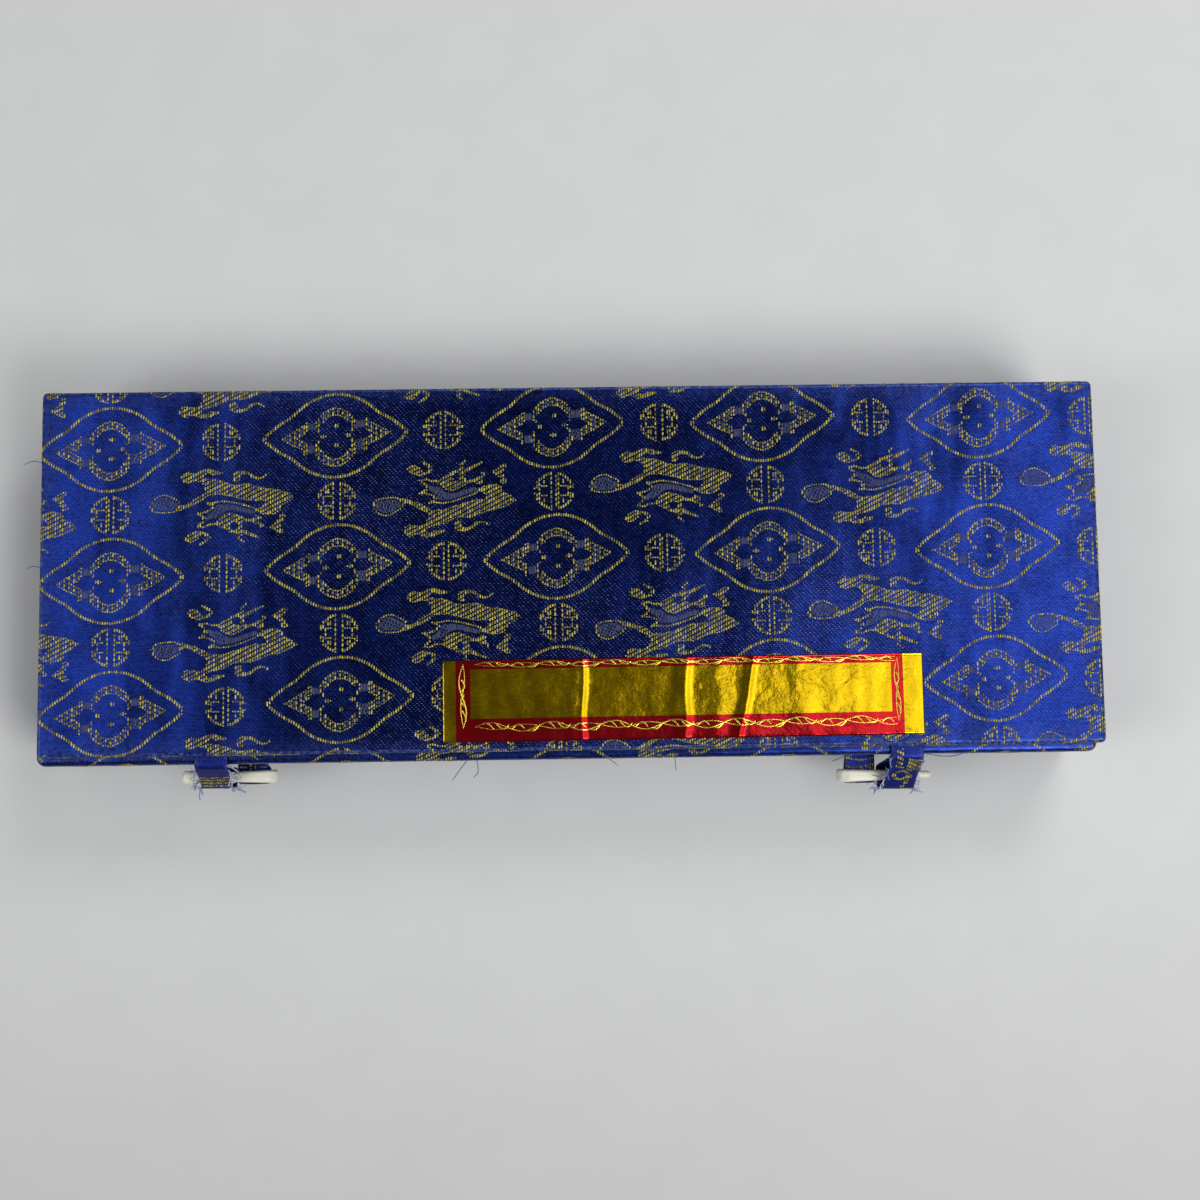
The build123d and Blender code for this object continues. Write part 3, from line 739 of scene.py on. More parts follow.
def roundel(x, y):
    """The round longevity mark: a broken ring, two bars and brackets on each side."""
    far = np.hypot(x, y)
    gold = (np.abs(far - 5.15) < 0.55) & (np.abs(x) > 0.5) & (np.abs(y) > 0.5)
    gold |= (np.abs(np.abs(x) - 0.85) < 0.4) & (far < 4.7)
    side = np.abs(x)
    gold |= box_of(side, np.abs(y), 1.7, 4.4, 1.0, 1.75)
    gold |= box_of(side, np.abs(y), 2.3, 3.2, 1.9, 3.7)
    gold |= box_of(side, np.abs(y), 3.6, 4.3, 0.0, 1.2)
    return gold, np.zeros(x.shape, bool)


def dragon(x, y):
    """A small dragon that runs to the left, head turned back, with a flame before it."""
    gold = near(FLAME, x, y, 0.75)
    for outline in (BODY, FOOT, PAW, FACE, CURL, FAN):
        gold |= within(outline, x, y)
    gold |= near(SPIKE_TOP, x, y, 0.9) | near(SPIKE_LOW, x, y, 0.9) | near(MANE_EDGE, x, y, 0.8)
    gold &= np.hypot(x - 3.3, y - 5.4) > 1.0
    pale = within(FLAME[:-1], x, y) | within(MANE, x, y)
    return gold, pale & ~gold


def dragon_leaping(x, y):
    """The same dragon upside down, as the next row of the cloth has it."""
    return dragon(x, 2 * WEFT_TILT * x - y)


dragon_parts = (BODY, FLAME, FOOT, PAW, FACE, MANE, CURL, FAN)
print("outlines of the dragon:", sum(map(len, dragon_parts)), "points")

# %% Where the figures stand on the cloth
ROW = 37.5
OGEE_COLUMNS = (-190.5, -128.5, -64.6, -2.8, 57.3, 119.6, 182)
DRAGON_COLUMNS = (-158.0, -96.8, -33.9, 27.7, 88.1, 150.5)
DRAGON_RISE = 18.6


def bow(x):
    """The rows of the cloth on the lid are bowed a little."""
    return 4.5 + 0.0257 * x - 0.00013 * x * x


def set_out(ogee_columns, dragon_columns, numbers, rise, skew):
    """Every figure of a stretch of cloth, with its place. Dragons face up and down in turn."""
    figures = []
    for number in numbers:
        up = number * ROW
        for x in ogee_columns:
            for figure, y in ((ogee, up), (roundel, up + ROW / 2)):
                figures.append((figure, x - (skew + 0.00008 * x * (skew > 0)) * y, rise(x) + y))
        for i, x in enumerate(dragon_columns):
            figures.append((roundel, x - skew * up, rise(x) + up))
            kind = dragon_leaping if (i + number) % 2 else dragon
            y = up + DRAGON_RISE
            figures.append((kind, x - skew * y, rise(x) + y))
    return figures


lid_figures = set_out(OGEE_COLUMNS, DRAGON_COLUMNS, range(-3, 4), bow, 0.022)
print(len(lid_figures), "figures on the lid")


def figured(u, v, figures):
    """Gold and pale masks at points of the cloth."""
    gold = np.zeros(u.shape, bool)
    pale = np.zeros(u.shape, bool)
    for figure, x, y in figures:
        close = (np.abs(u - x) < 22.5) & (np.abs(v - y) < 14)
        if close.any():
            gold_here, pale_here = figure(u[close] - x, v[close] - y)
            gold[close] |= gold_here
            pale[close] |= pale_here
    return gold, pale & ~gold


# %% Rows of floats from the masks
PALE_PITCH, PALE_FLOAT = 0.42, 2.2
SAMPLE = 0.1
SHORTEST, LEAST_CUT, FLOAT_GAP = 0.35, 0.45, 0.18


def floats_of(mask, columns, heights, longest, slant):
    """Middles and lengths of the floats that cover a mask, one thread column after another."""
    found = []
    for i, x in enumerate(columns):
        line = np.concatenate(([0], mask[i].astype(np.int8), [0]))
        starts, ends = np.flatnonzero(np.diff(line) == 1), np.flatnonzero(np.diff(line) == -1)
        for start, end in zip(starts, ends):
            low, high = heights[0] + start * SAMPLE, heights[0] + end * SAMPLE
            if high - low < SHORTEST:
                continue
            cuts = [low]
            if high - low > 1.45 * longest:
                first = low + (slant * i - low) % longest
                while first < high - LEAST_CUT:
                    if first > low + LEAST_CUT:
                        cuts.append(first)
                    first += longest
            cuts.append(high)
            for a, b in zip(cuts, cuts[1:]):
                found.append((x, (a + b) / 2, max(b - a - FLOAT_GAP, 0.5)))
    return np.array(found)


def read_pattern(u1, u2, v1, v2, figures):
    """Gold and pale floats of a stretch of cloth."""
    heights = np.arange(v1, v2, SAMPLE)
    result = []
    for pitch, longest, slant, which in (
            (GOLD_PITCH, GOLD_FLOAT, 0.35, 0), (PALE_PITCH, PALE_FLOAT, 0.9, 1)):
        columns = np.arange(math.ceil(u1 / pitch) * pitch, u2, pitch)
        u, v = np.meshgrid(columns, heights, indexing="ij")
        mask = figured(u, v, figures)[which]
        result.append(floats_of(mask, columns, heights, longest, slant))
    return result


# %% [markdown]
# ## Laying threads with Geometry Nodes
# One float is a tiny closed lens, narrow at its ends where the thread dives into the cloth. A
# node tree puts one on every point, as long as the point says, turns it a little at random, makes
# it real and gives it its material. The flat result is then bent onto the wrapped board.

# %% One float of thread
lens_rows = ((-0.3, 0.96, 0.92), (0.3, 0.96, 0.92))
lens = [(0, -0.5, 0.0)]
for y, wide, high in lens_rows:
    lens += [(share * wide, y, up * high) for share, up in (
        (-0.5, 0.0), (-0.36, 0.85), (0.36, 0.85), (0.5, 0.0))]
lens.append((0, 0.5, 0.0))
lens_faces = [(0, 1 + i, 1 + (i + 1) % 4) for i in range(4)]
lens_faces += [tuple(reversed(f)) for f in quad_strip(2, 4, True, 1)]
lens_faces += [(9, 5 + (i + 1) % 4, 5 + i) for i in range(4)]
float_shape = make_piece("float_shape", np.array(lens) / MM, lens_faces)
print("one float has", sum(len(f) - 2 for f in lens_faces), "triangles")

# %% The tree that lays threads
laying = bpy.data.node_groups.new("lay_threads", "GeometryNodeTree")
for key, kind, value in (
    ("Geometry", "NodeSocketGeometry", None), ("Thread", "NodeSocketObject", None),
    ("Width", "NodeSocketFloat", 0.62), ("Height", "NodeSocketFloat", 0.16),
    ("Seed", "NodeSocketInt", 7), ("Finish", "NodeSocketMaterial", None),
):
    socket = laying.interface.new_socket(key, in_out="INPUT", socket_type=kind)
    if value is not None:
        socket.default_value = value
laying.interface.new_socket("Geometry", in_out="OUTPUT", socket_type="NodeSocketGeometry")
enter, leave = laying.nodes.new("NodeGroupInput"), laying.nodes.new("NodeGroupOutput")
shape = add(laying, "GeometryNodeObjectInfo", {"Object": enter.outputs["Thread"]})
length = add(laying, "GeometryNodeInputNamedAttribute", {"Name": "float_length"}, data_type="FLOAT")
swell = add(laying, "FunctionNodeRandomValue", data_type="FLOAT")
swell.inputs[2].default_value, swell.inputs[3].default_value = 0.82, 1.12
wire(laying, swell.inputs["Seed"], enter.outputs["Seed"])
sway = add(laying, "FunctionNodeRandomValue", data_type="FLOAT")
sway.inputs[2].default_value, sway.inputs[3].default_value = -0.07, 0.07
wire(laying, sway.inputs["Seed"], calc(laying, "ADD", enter.outputs["Seed"], 1.0))
size = add(laying, "ShaderNodeCombineXYZ", {
    0: calc(laying, "MULTIPLY", enter.outputs["Width"], swell.outputs[1]),
    1: length.outputs[0], 2: enter.outputs["Height"]})
turn = add(laying, "ShaderNodeCombineXYZ", {2: sway.outputs[1]})
spread = add(laying, "GeometryNodeInstanceOnPoints", {
    "Points": enter.outputs["Geometry"], "Instance": shape.outputs["Geometry"],
    "Rotation": turn.outputs[0], "Scale": size.outputs[0]})
real = add(laying, "GeometryNodeRealizeInstances", {"Geometry": spread.outputs[0]})
finished = add(laying, "GeometryNodeSetMaterial", {
    "Geometry": real.outputs[0], "Material": enter.outputs["Finish"]})
wire(laying, leave.inputs[0], finished.outputs[0])
print("laying tree:", len(laying.nodes), "nodes")


# %% From floats to a finished piece


def lay_threads(name, floats, surface, thread, seed):
    """Lay floats flat with the node tree, then bend them onto a surface."""
    finish, width, height = thread
    points = np.column_stack((floats[:, 0], floats[:, 1], np.zeros(len(floats)))) / MM
    tones = np.random.default_rng(seed).random(len(floats))
    holder = make_piece(name, points * MM, [], values={"float_length": floats[:, 2], "tone": tones})
    holder.data.vertices.foreach_set("co", (points * MM).ravel())
    layer = holder.modifiers.new("lay", "NODES")
    layer.node_group = laying
    sockets = {item.name: item.identifier for item in laying.interface.items_tree
               if item.in_out == "INPUT"}
    layer[sockets["Thread"]] = float_shape
    layer[sockets["Width"]] = width
    layer[sockets["Height"]] = height
    layer[sockets["Seed"]] = seed
    layer[sockets["Finish"]] = finish
    mesh = shown_mesh(holder)
    holder.modifiers.remove(layer)
    holder.data = mesh
    flat = raw_places(mesh)
    bent, outward = surface(flat[:, 0], flat[:, 1])
    mesh.vertices.foreach_set("co", ((bent + outward * (flat[:, 2:3] - 0.02)) * MM).ravel())
    mesh.polygons.foreach_set("use_smooth", [True] * len(mesh.polygons))
    mesh.update()
    triangles = sum(len(p.vertices) - 2 for p in mesh.polygons)
    print(name, len(floats), "floats,", triangles, "triangles")
    return holder


# %% [markdown]
# ## The lid's cloth
# A sheet of brocade is drawn over the board, round its edges and 12 mm under. The same rule gives
# the sheet and the threads their place: a point of the flat cloth that lies past an edge goes
# round the rounding, down the side and under. The top is not a plane: the glue leaves it slightly
# crowned, with a few soft waves near the hinge corner.

# %% Sizes of the lid and tray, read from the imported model


def node_box(node):
    low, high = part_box(node)
    return np.array(low) / MM, np.array(high) / MM


lid_low, lid_high = node_box("lid_cloth")
tray_low, tray_high = node_box("wall_cloth")
rim_top = tray_high[2]
lid_middle_x = (lid_low[0] + lid_high[0]) / 2
print("lid", lid_low.round(2), lid_high.round(2), "tray", tray_low.round(2), tray_high.round(2))

# %% How cloth goes round an edge


def round_edge(past, top_radius, side, under_radius):
    """How far out and down a point lies that is past an edge, and which way it faces."""
    quarter_top, quarter_low = top_radius * math.pi / 2, under_radius * math.pi / 2
    past = np.maximum(past, 0)
    turn = np.clip(past, 0, quarter_top) / top_radius
    out = top_radius * np.sin(turn)
    down = top_radius * (1 - np.cos(turn))
    down = down + np.clip(past - quarter_top, 0, side)
    low = np.clip(past - quarter_top - side, 0, quarter_low) / under_radius
    out = out - under_radius * (1 - np.cos(low))
    down = down + under_radius * np.sin(low)
    out = out - np.maximum(past - quarter_top - side - quarter_low, 0)
    facing = turn + low
    return out, down, np.sin(facing), np.cos(facing)


LID_TOP, LID_UNDER = 1.1, 0.7
lid_side = lid_high[2] - lid_low[2] - LID_TOP - LID_UNDER


def lid_wave(x, y):
    """The soft unevenness of the glued cloth, in millimetres."""
    across = np.clip((lid_high[1] - y) / 40, 0, 1)
    corner = np.exp(-(((x - 120) / 38) ** 2)) * np.exp(-(((lid_high[1] - 6 - y) / 9) ** 2))
    wave = 0.05 * np.sin(x / 23 + 0.7) * np.sin(y / 17 + 0.3) + 0.03 * np.sin(x / 7.3 + y / 11)
    return wave * across + 0.16 * corner * np.sin(x / 4.6) + 0.05 * np.sin(x / 61 + 1.2)


def lid_surface(u, v):
    """Where a point of the lid's cloth lies, and which way it faces."""
    x1, x2 = lid_low[0] + LID_TOP, lid_high[0] - LID_TOP
    y1, y2 = lid_low[1] + LID_TOP, lid_high[1] - LID_TOP
    x, y = np.clip(u, x1, x2), np.clip(v, y1, y2)
    side_x, side_y = np.sign(u - x), np.sign(v - y)
    out_x, down_x, face_x, up_x = round_edge(np.abs(u - x), LID_TOP, lid_side, LID_UNDER)
    out_y, down_y, face_y, up_y = round_edge(np.abs(v - y), LID_TOP, lid_side, LID_UNDER)
    on_top = np.where((down_x + down_y) > 1.0, 0, 1)
    z = lid_high[2] - down_x - down_y + lid_wave(x, y) * on_top
    points = np.column_stack((x + side_x * out_x, y + side_y * out_y, z))
    outward = np.column_stack((side_x * face_x, side_y * face_y, np.minimum(up_x, up_y)))
    return points, outward / np.linalg.norm(outward, axis=1, keepdims=True)


# %% Rings round a wrapped board


def ring(x_stations, y_stations, radius, corner_steps):
    """A closed rounded outline, anticlockwise from the front left corner."""
    x1, x2, y1, y2 = x_stations[0], x_stations[-1], y_stations[0], y_stations[-1]
    inner_x = np.clip(x_stations, x1 + radius, x2 - radius)
    inner_y = np.clip(y_stations, y1 + radius, y2 - radius)
    points = []

    def corner(cx, cy, start):
        for i in range(1, corner_steps):
            a = start + math.pi / 2 * i / corner_steps
            points.append((cx + radius * math.cos(a), cy + radius * math.sin(a)))

    points += [(x, y1) for x in inner_x]
    corner(x2 - radius, y1 + radius, -math.pi / 2)
    points += [(x2, y) for y in inner_y]
    corner(x2 - radius, y2 - radius, 0)
    points += [(x, y2) for x in inner_x[::-1]]
    corner(x1 + radius, y2 - radius, math.pi / 2)
    points += [(x1, y) for y in inner_y[::-1]]
    corner(x1 + radius, y1 + radius, math.pi)
    return points


# %% [markdown]
# The sheet is made of rings: from the turned-in edge underneath, out to the side, up, and over
# the rounding to the top, where a grid fills the middle. Cloth coordinates follow the way the
# cloth was folded, so that the weave on each side runs on from the top.

# %% The lid's sheet
CORNER_STEPS = 5
LOOPS = {"left_loop": node_box("left_loop"), "right_loop": node_box("right_loop")}
loop_gaps = [(low[0] - 0.2, high[0] + 0.2) for low, high in LOOPS.values()]
lid_x = np.unique(np.concatenate((
    np.linspace(lid_low[0] + 1.4, lid_high[0] - 1.4, 141), np.array(loop_gaps).ravel())).round(3))
lid_y = np.linspace(lid_low[1] + 1.4, lid_high[1] - 1.4, 51)


def lid_rings():
    """Inset from the lid's outline, height and cloth distance past the top's edge, per ring."""
    rows = []
    reach = LID_TOP * math.pi / 2 + lid_side + LID_UNDER * math.pi / 2
    steps = [reach + 11.3, reach + 5.0, reach] + [
        reach - LID_UNDER * math.pi / 2 * i / 3 for i in (1, 2, 3)] + [
        LID_TOP * math.pi / 2 + lid_side * f for f in (0.82, 0.5, 0.3, 0.0)] + [
        LID_TOP * math.pi / 2 * f for f in (0.75, 0.5, 0.25, 0.0)]
    for past in steps:
        out, down, _, _ = round_edge(np.array([past]), LID_TOP, lid_side, LID_UNDER)
        rows.append((LID_TOP - out[0], lid_high[2] - down[0], past))
    return rows


points, uv, edge_values = [], [], []
for inset, height, past in lid_rings():
    radius = max(1.4 - inset, 0.02)
    xs = lid_x.copy()
    ys = lid_y.copy()
    xs[0], xs[-1] = lid_low[0] + inset, lid_high[0] - inset
    ys[0], ys[-1] = lid_low[1] + inset, lid_high[1] - (inset if height > 29 else min(inset, 0.55))
    for x, y in ring(xs, ys, radius, CORNER_STEPS):
        if height < rim_top + 2.05 and y > lid_high[1] - 0.6 and abs(x) < 147.2:
            y = lid_high[1] - 0.56  # the hinge strip lies over the cloth here
        lift = lid_wave(np.array(x), np.array(y)) if height > 31.4 else 0
        points.append((x, y, height + lift))
        off_ends = lid_low[0] + inset + 1 < x < lid_high[0] - inset - 1
        if abs(y - lid_low[1]) < 13 and off_ends:
            uv.append((x, lid_low[1] + LID_TOP - past))
        elif y > lid_high[1] - 13 and off_ends:
            uv.append((x, lid_high[1] - LID_TOP + past))
        elif x < 0:
            uv.append((lid_low[0] + LID_TOP - past, y))
        else:
            uv.append((lid_high[0] - LID_TOP + past, y))
        # edge is 1 on the lid's rounding, where the brocade paints wear and a painted highlight
        edge_values.append(1.0 if 30.2 < height < 31.98 else 0.15)
per_ring = len(ring(lid_x, lid_y, 1.0, CORNER_STEPS))
rings = len(lid_rings())
faces = quad_strip(rings, per_ring, True)
print("lid rings:", rings, "of", per_ring)

# %% The lid's top, and the last ring's corners
grid_start = len(points)
for y in lid_y:
    for x in lid_x:
        points.append((x, y, lid_high[2] + lid_wave(np.array(x), np.array(y))))
        uv.append((x, y))
        from_edge = min(x - lid_low[0], lid_high[0] - x, y - lid_low[1], lid_high[1] - y)
        edge_values.append(0.3 * max(0.0, 1 - from_edge / 6))
faces += grid_in_ring(grid_start, len(lid_x), len(lid_y), (rings - 1) * per_ring, CORNER_STEPS)


def cut_away(points, faces, tests):
    """Leave out the faces whose middle lies in one of the boxes."""
    points = np.asarray(points)
    kept = []
    for face in faces:
        middle = points[list(face)].mean(axis=0)
        if not any(all(low[i] < middle[i] < high[i] for i in range(3)) for low, high in tests):
            kept.append(face)
    return kept


notches = [((x1, lid_low[1] - 1, 28), (x2, lid_low[1] + 12, 29.75)) for x1, x2 in loop_gaps]
faces = cut_away(points, faces, notches)
lid_brocade = make_piece(
    "lid_brocade", points, faces, brocade_blue, uv, values={"edge": edge_values})
weld(lid_brocade)
thicken(lid_brocade, SHEET)
print("lid_brocade", len(points), "points", len(faces), "faces")

# %% The lid's gold
wrap = LID_TOP * math.pi / 2 + lid_side + LID_UNDER * math.pi / 2 + 11.0
gold, pale = read_pattern(lid_low[0] + LID_TOP - wrap, lid_high[0] - LID_TOP + wrap,
                          lid_low[1] + LID_TOP - wrap, lid_high[1] - LID_TOP + 1.6, lid_figures)


def on_lid(floats):
    """Drop the floats that the folded corners would hide or crumple."""
    past_x = np.maximum(lid_low[0] + 1.6 - floats[:, 0], floats[:, 0] - lid_high[0] + 1.6)
    past_y = np.maximum(lid_low[1] + 1.6 - floats[:, 1], floats[:, 1] - lid_high[1] + 1.6)
    keep = ~((past_x > 0) & (past_y > 0))
    for x1, x2 in loop_gaps:
        keep &= ~((floats[:, 0] > x1) & (floats[:, 0] < x2) & (floats[:, 1] < lid_low[1] - 1.6))
    return floats[keep]


gold = on_lid(gold)
left_half = gold[:, 0] < lid_middle_x
gold_on_lid = [
    lay_threads("gold_on_lid_" + side, gold[half], lid_surface, GOLD, seed)
    for side, half, seed in (("left", left_half, 11), ("right", ~left_half, 13))]
pale_on_lid = lay_threads("pale_on_lid", on_lid(pale), lid_surface, PALE, 12)

# %% Ride the lid
for piece in (lid_brocade, *gold_on_lid, pale_on_lid):
    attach(piece, "lid")
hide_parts("lid_cloth")

# %% [markdown]
# ## The tray's cloth
# One strip of brocade goes round the walls. In section it runs from under the base, round the
# bottom edge, up the wall, over the rim and a little way down inside. A table of that section,
# and one of the tray's outline, place both the sheet and its threads.

# %% The section of the wrapped wall
TRAY_CORNER, RIM_ROUND, FOOT_ROUND, INSIDE_ROUND = 2.6, 1.6, 0.45, 0.5
UNDER = 0.19  # the underside's cloth stays this far up, so that its threads touch the table


def arc_section(centre_inset, centre_height, radius, start, end, steps=5):
    """Inset and height along an arc of the section."""
    angles = np.radians(np.linspace(start, end, steps))
    return [(centre_inset + radius * math.cos(a), centre_height + radius * math.sin(a))
            for a in angles]


section = [(12.0, UNDER), (9.0, UNDER), (6.0, UNDER), (3.0, UNDER)]
section += arc_section(FOOT_ROUND, UNDER + FOOT_ROUND, FOOT_ROUND, 270, 180)
section += [(0, 4.0), (0, 8.0), (0, 12.0), (0, 16.15), (0, 17.85), (0, 21.0), (0, 24.0)]
section += arc_section(RIM_ROUND, rim_top - RIM_ROUND, RIM_ROUND, 180, 90)
section += arc_section(3.5 - INSIDE_ROUND, rim_top - INSIDE_ROUND, INSIDE_ROUND, 90, 0)
section += [(3.5, 25.5)]
section = np.array(section)
section_length = np.concatenate(([0], np.cumsum(np.hypot(*np.diff(section, axis=0).T))))
section_middle = float(np.interp(12.0, section[4:16, 1], section_length[4:16]))
print("the strip is", round(section_length[-1], 1), "mm wide")

# %% The outline of the tray
x_half, y_half = tray_high[0], tray_high[1]
corner_arcs = []
for cx, cy, start in ((1, -1, -90), (1, 1, 0), (-1, 1, 90), (-1, -1, 180)):
    for a in np.radians(np.linspace(start, start + 90, 9)):
        corner_arcs.append((cx * (x_half - TRAY_CORNER) + TRAY_CORNER * math.cos(a),
                            cy * (y_half - TRAY_CORNER) + TRAY_CORNER * math.sin(a),
                            math.cos(a), math.sin(a)))
outline = np.array([(0, -y_half, 0, -1)] + corner_arcs + [(0, -y_half, 0, -1)])
outline_length = np.concatenate(([0], np.cumsum(np.hypot(*np.diff(outline[:, :2], axis=0).T))))
around = outline_length[-1]
print("round the tray:", round(around, 1), "mm")


def wall_surface(u, v):
    """Where a point of the walls' cloth lies. u runs round from the front's middle, v up."""
    u = np.mod(u, around)
    x, y, facing_x, facing_y = (np.interp(u, outline_length, outline[:, i]) for i in range(4))
    length = v + section_middle - 12.0
    inset, height = (np.interp(length, section_length, section[:, i]) for i in range(2))
    ahead = (np.interp(length + 0.2, section_length, section[:, i]) for i in range(2))
    behind = (np.interp(length - 0.2, section_length, section[:, i]) for i in range(2))
    d_inset, d_height = (a - b for a, b in zip(ahead, behind))
    size = np.hypot(d_inset, d_height) + 1e-9
    out, up = d_height / size, d_inset / size
    points = np.column_stack((x - facing_x * inset, y - facing_y * inset, height))
    return points, np.column_stack((facing_x * out, facing_y * out, up))


# %% The walls' sheet
STRAPS = {"left_strap": node_box("left_strap"), "right_strap": node_box("right_strap")}
strap_gaps = [(low[0] - 0.2, high[0] + 0.2) for low, high in STRAPS.values()]
wall_x = np.unique(np.concatenate((
    np.linspace(-x_half + TRAY_CORNER, x_half - TRAY_CORNER, 121),
    np.array(strap_gaps).ravel())).round(3))
wall_y = np.linspace(-y_half + TRAY_CORNER, y_half - TRAY_CORNER, 43)


def wrap_of_rings(rows, half_x, half_y, corner, stations_x, stations_y, steps=6):
    """Points of rings given by inset and height, with the way round and up the cloth."""
    points, uv = [], []
    for inset, height in rows:
        xs, ys = stations_x.copy(), stations_y.copy()
        xs[0], xs[-1] = -half_x + inset, half_x - inset
        ys[0], ys[-1] = -half_y + inset, half_y - inset
        way = 0.0
        ringed = ring(xs, ys, max(corner - inset, 0.05), steps)
        for i, (x, y) in enumerate(ringed):
            if i:
                way += math.hypot(x - ringed[i - 1][0], y - ringed[i - 1][1])
            points.append((x, y, height))
            uv.append((way + inset, 0.0))
    return np.array(points), np.array(uv), len(ringed)


def close_seam(piece, length):
    """Where the cloth meets itself, carry its coordinates on past the seam."""
    layer = piece.data.uv_layers["cloth"].data
    for face in piece.data.polygons:
        us = [layer[i].uv[0] for i in face.loop_indices]
        if max(us) - min(us) > length / 2:
            for i in face.loop_indices:
                if layer[i].uv[0] < length / 2:
                    layer[i].uv[0] += length


points, uv, per_ring = wrap_of_rings(section, x_half, y_half, TRAY_CORNER, wall_x, wall_y)
uv[:, 1] = np.repeat(section_length, per_ring)
# edge values per row of the section, for wear and for the painted highlight along the rounded rim and
# foot
wear_and_highlight_by_row = np.interp(section[:, 1], [0, 1, 3, 26, 27.5, 28.5], [0.7, 0.6, 0.08, 0.08, 0.4, 0.25])
faces = quad_strip(len(section), per_ring, True)
slits = [((x1, -y_half - 1, 16.1), (x2, -y_half + 1, 17.9)) for x1, x2 in strap_gaps]
faces = cut_away(points, faces, slits)
wall_brocade = make_piece("wall_brocade", points, faces, brocade_blue, uv,
                          values={"edge": np.repeat(wear_and_highlight_by_row, per_ring)})
close_seam(wall_brocade, around)
weld(wall_brocade)
thicken(wall_brocade, SHEET)
print("wall_brocade", len(points), "points")

# %% The walls' gold
WALL_OGEES = tuple(np.arange(-186, 900, 62.0))
WALL_DRAGONS = tuple(np.arange(-217, 900, 62.0))


def level(x):
    """The rows on the walls run level."""
    return 20.0 + 0 * x


wall_figures = set_out(WALL_OGEES, WALL_DRAGONS, range(-2, 2), level, 0.0)
top_of_threads = 12.0 + section_length[-2] - section_middle - 1.0
gold, pale = read_pattern(0, around, 12.0 - section_middle, top_of_threads, wall_figures)
folded_inside = 12.0 + section_length[20] - section_middle


def on_walls(floats):
    """Drop floats in the folded corners, behind the back strip and at the straps' slits."""
    places, _ = wall_surface(floats[:, 0], floats[:, 1])
    behind = (places[:, 1] > y_half - 0.3) & (np.abs(places[:, 0]) < 147.5) & (places[:, 2] > 0.5)
    flat = np.abs(np.abs(places[:, 0]) - x_half) < 12
    corner = flat & (np.abs(np.abs(places[:, 1]) - y_half) < 12)
    below = (floats[:, 1] < 1.2) & corner
    over = (floats[:, 1] > folded_inside) & corner
    keep = ~(behind | below | over)
    for x1, x2 in strap_gaps:
        slit = (places[:, 0] > x1 - 0.3) & (places[:, 0] < x2 + 0.3) & (places[:, 1] < -y_half + 1)
        keep &= ~(slit & (np.abs(places[:, 2] - 17) < 1.9))
    return floats[keep]


gold = on_walls(gold)
in_front = (gold[:, 0] < around / 4) | (gold[:, 0] > around * 3 / 4)
gold_on_walls = [
    lay_threads("gold_on_" + name, gold[part], wall_surface, GOLD, seed)
    for name, part, seed in (("front_walls", in_front, 21), ("back_walls", ~in_front, 23))]
pale_on_walls = lay_threads("pale_on_walls", on_walls(pale), wall_surface, PALE, 22)
for piece in (wall_brocade, *gold_on_walls, pale_on_walls):
    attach(piece, "tray")
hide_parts("wall_cloth")

# %% [markdown]
# ## The hinge and the back
# A second strip is glued over the back wall. Its top four millimetres are free and carry the lid;
# on the real case that part bends between the tray and the lid. Here it is a sheet of its own with
# its own threads.

# %% Back and hinge strips
hinge_low, hinge_high = node_box("hinge_cloth")
back_low, back_high = node_box("back_cloth")


def back_surface(u, v):
    """The outer face of the strips on the back, seen from behind."""
    points = np.column_stack((-u, np.full(u.shape, back_high[1]), v))
    return points, np.column_stack((0 * u, 0 * u + 1, 0 * u))


def back_sheet(name, low, high, steps_x, steps_z, tuck_low, tuck_high):
    """A sheet on the back, its raw edges pressed down."""
    points, uv, edge = [], [], []
    for z in np.linspace(low[2], high[2], steps_z):
        for x in np.linspace(high[0], low[0], steps_x):
            pressed = 0.12 if abs(x) > high[0] - 0.5 else 0.0
            pressed += 0.1 * ((z == low[2]) * tuck_low + (z == high[2]) * tuck_high)
            points.append((x, high[1] - pressed + 0.03 * math.sin(x / 9 + z / 3) * (1 < z < 26), z))
            uv.append((-x, z))
            edge.append(0.7 if abs(x) > high[0] - 1.5 or (tuck_low and z < low[2] + 1) else 0.1)
    faces = quad_strip(steps_z, steps_x, False)
    return thicken(make_piece(name, points, faces, brocade_blue, uv, values={"edge": edge}), 0.42)


back_brocade = back_sheet("back_brocade", back_low, back_high, 121, 13, 1, 0)
hinge_brocade = back_sheet("hinge_brocade", hinge_low, hinge_high, 121, 9, 0, 0)
gold, pale = read_pattern(-146.3, 146.3, 1.0, 30.2, wall_figures)
fold = back_high[2]
gold_on_back = lay_threads(
    "gold_on_back", gold[gold[:, 1] < fold - 0.5], back_surface, GOLD, 31)
pale_on_back = lay_threads(
    "pale_on_back", pale[pale[:, 1] < fold - 0.5], back_surface, PALE, 32)
gold_on_hinge = lay_threads(
    "gold_on_hinge", gold[gold[:, 1] >= fold - 0.5], back_surface, GOLD, 33)
for piece in (back_brocade, gold_on_back, pale_on_back):
    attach(piece, "tray")
for piece in (hinge_brocade, gold_on_hinge):
    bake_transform(piece)
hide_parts("back_cloth")
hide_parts("hinge_cloth")

# %% [markdown]
# ## The foil label
# A strip of gilt paper lies on the lid near its front edge. It was pasted down by hand: a few
# buckles run across it, and each mirrors the light as a bright bar. Its red border carries a
# plain vine scroll. The lettering of the real one is left off, so the field is bare gilt.

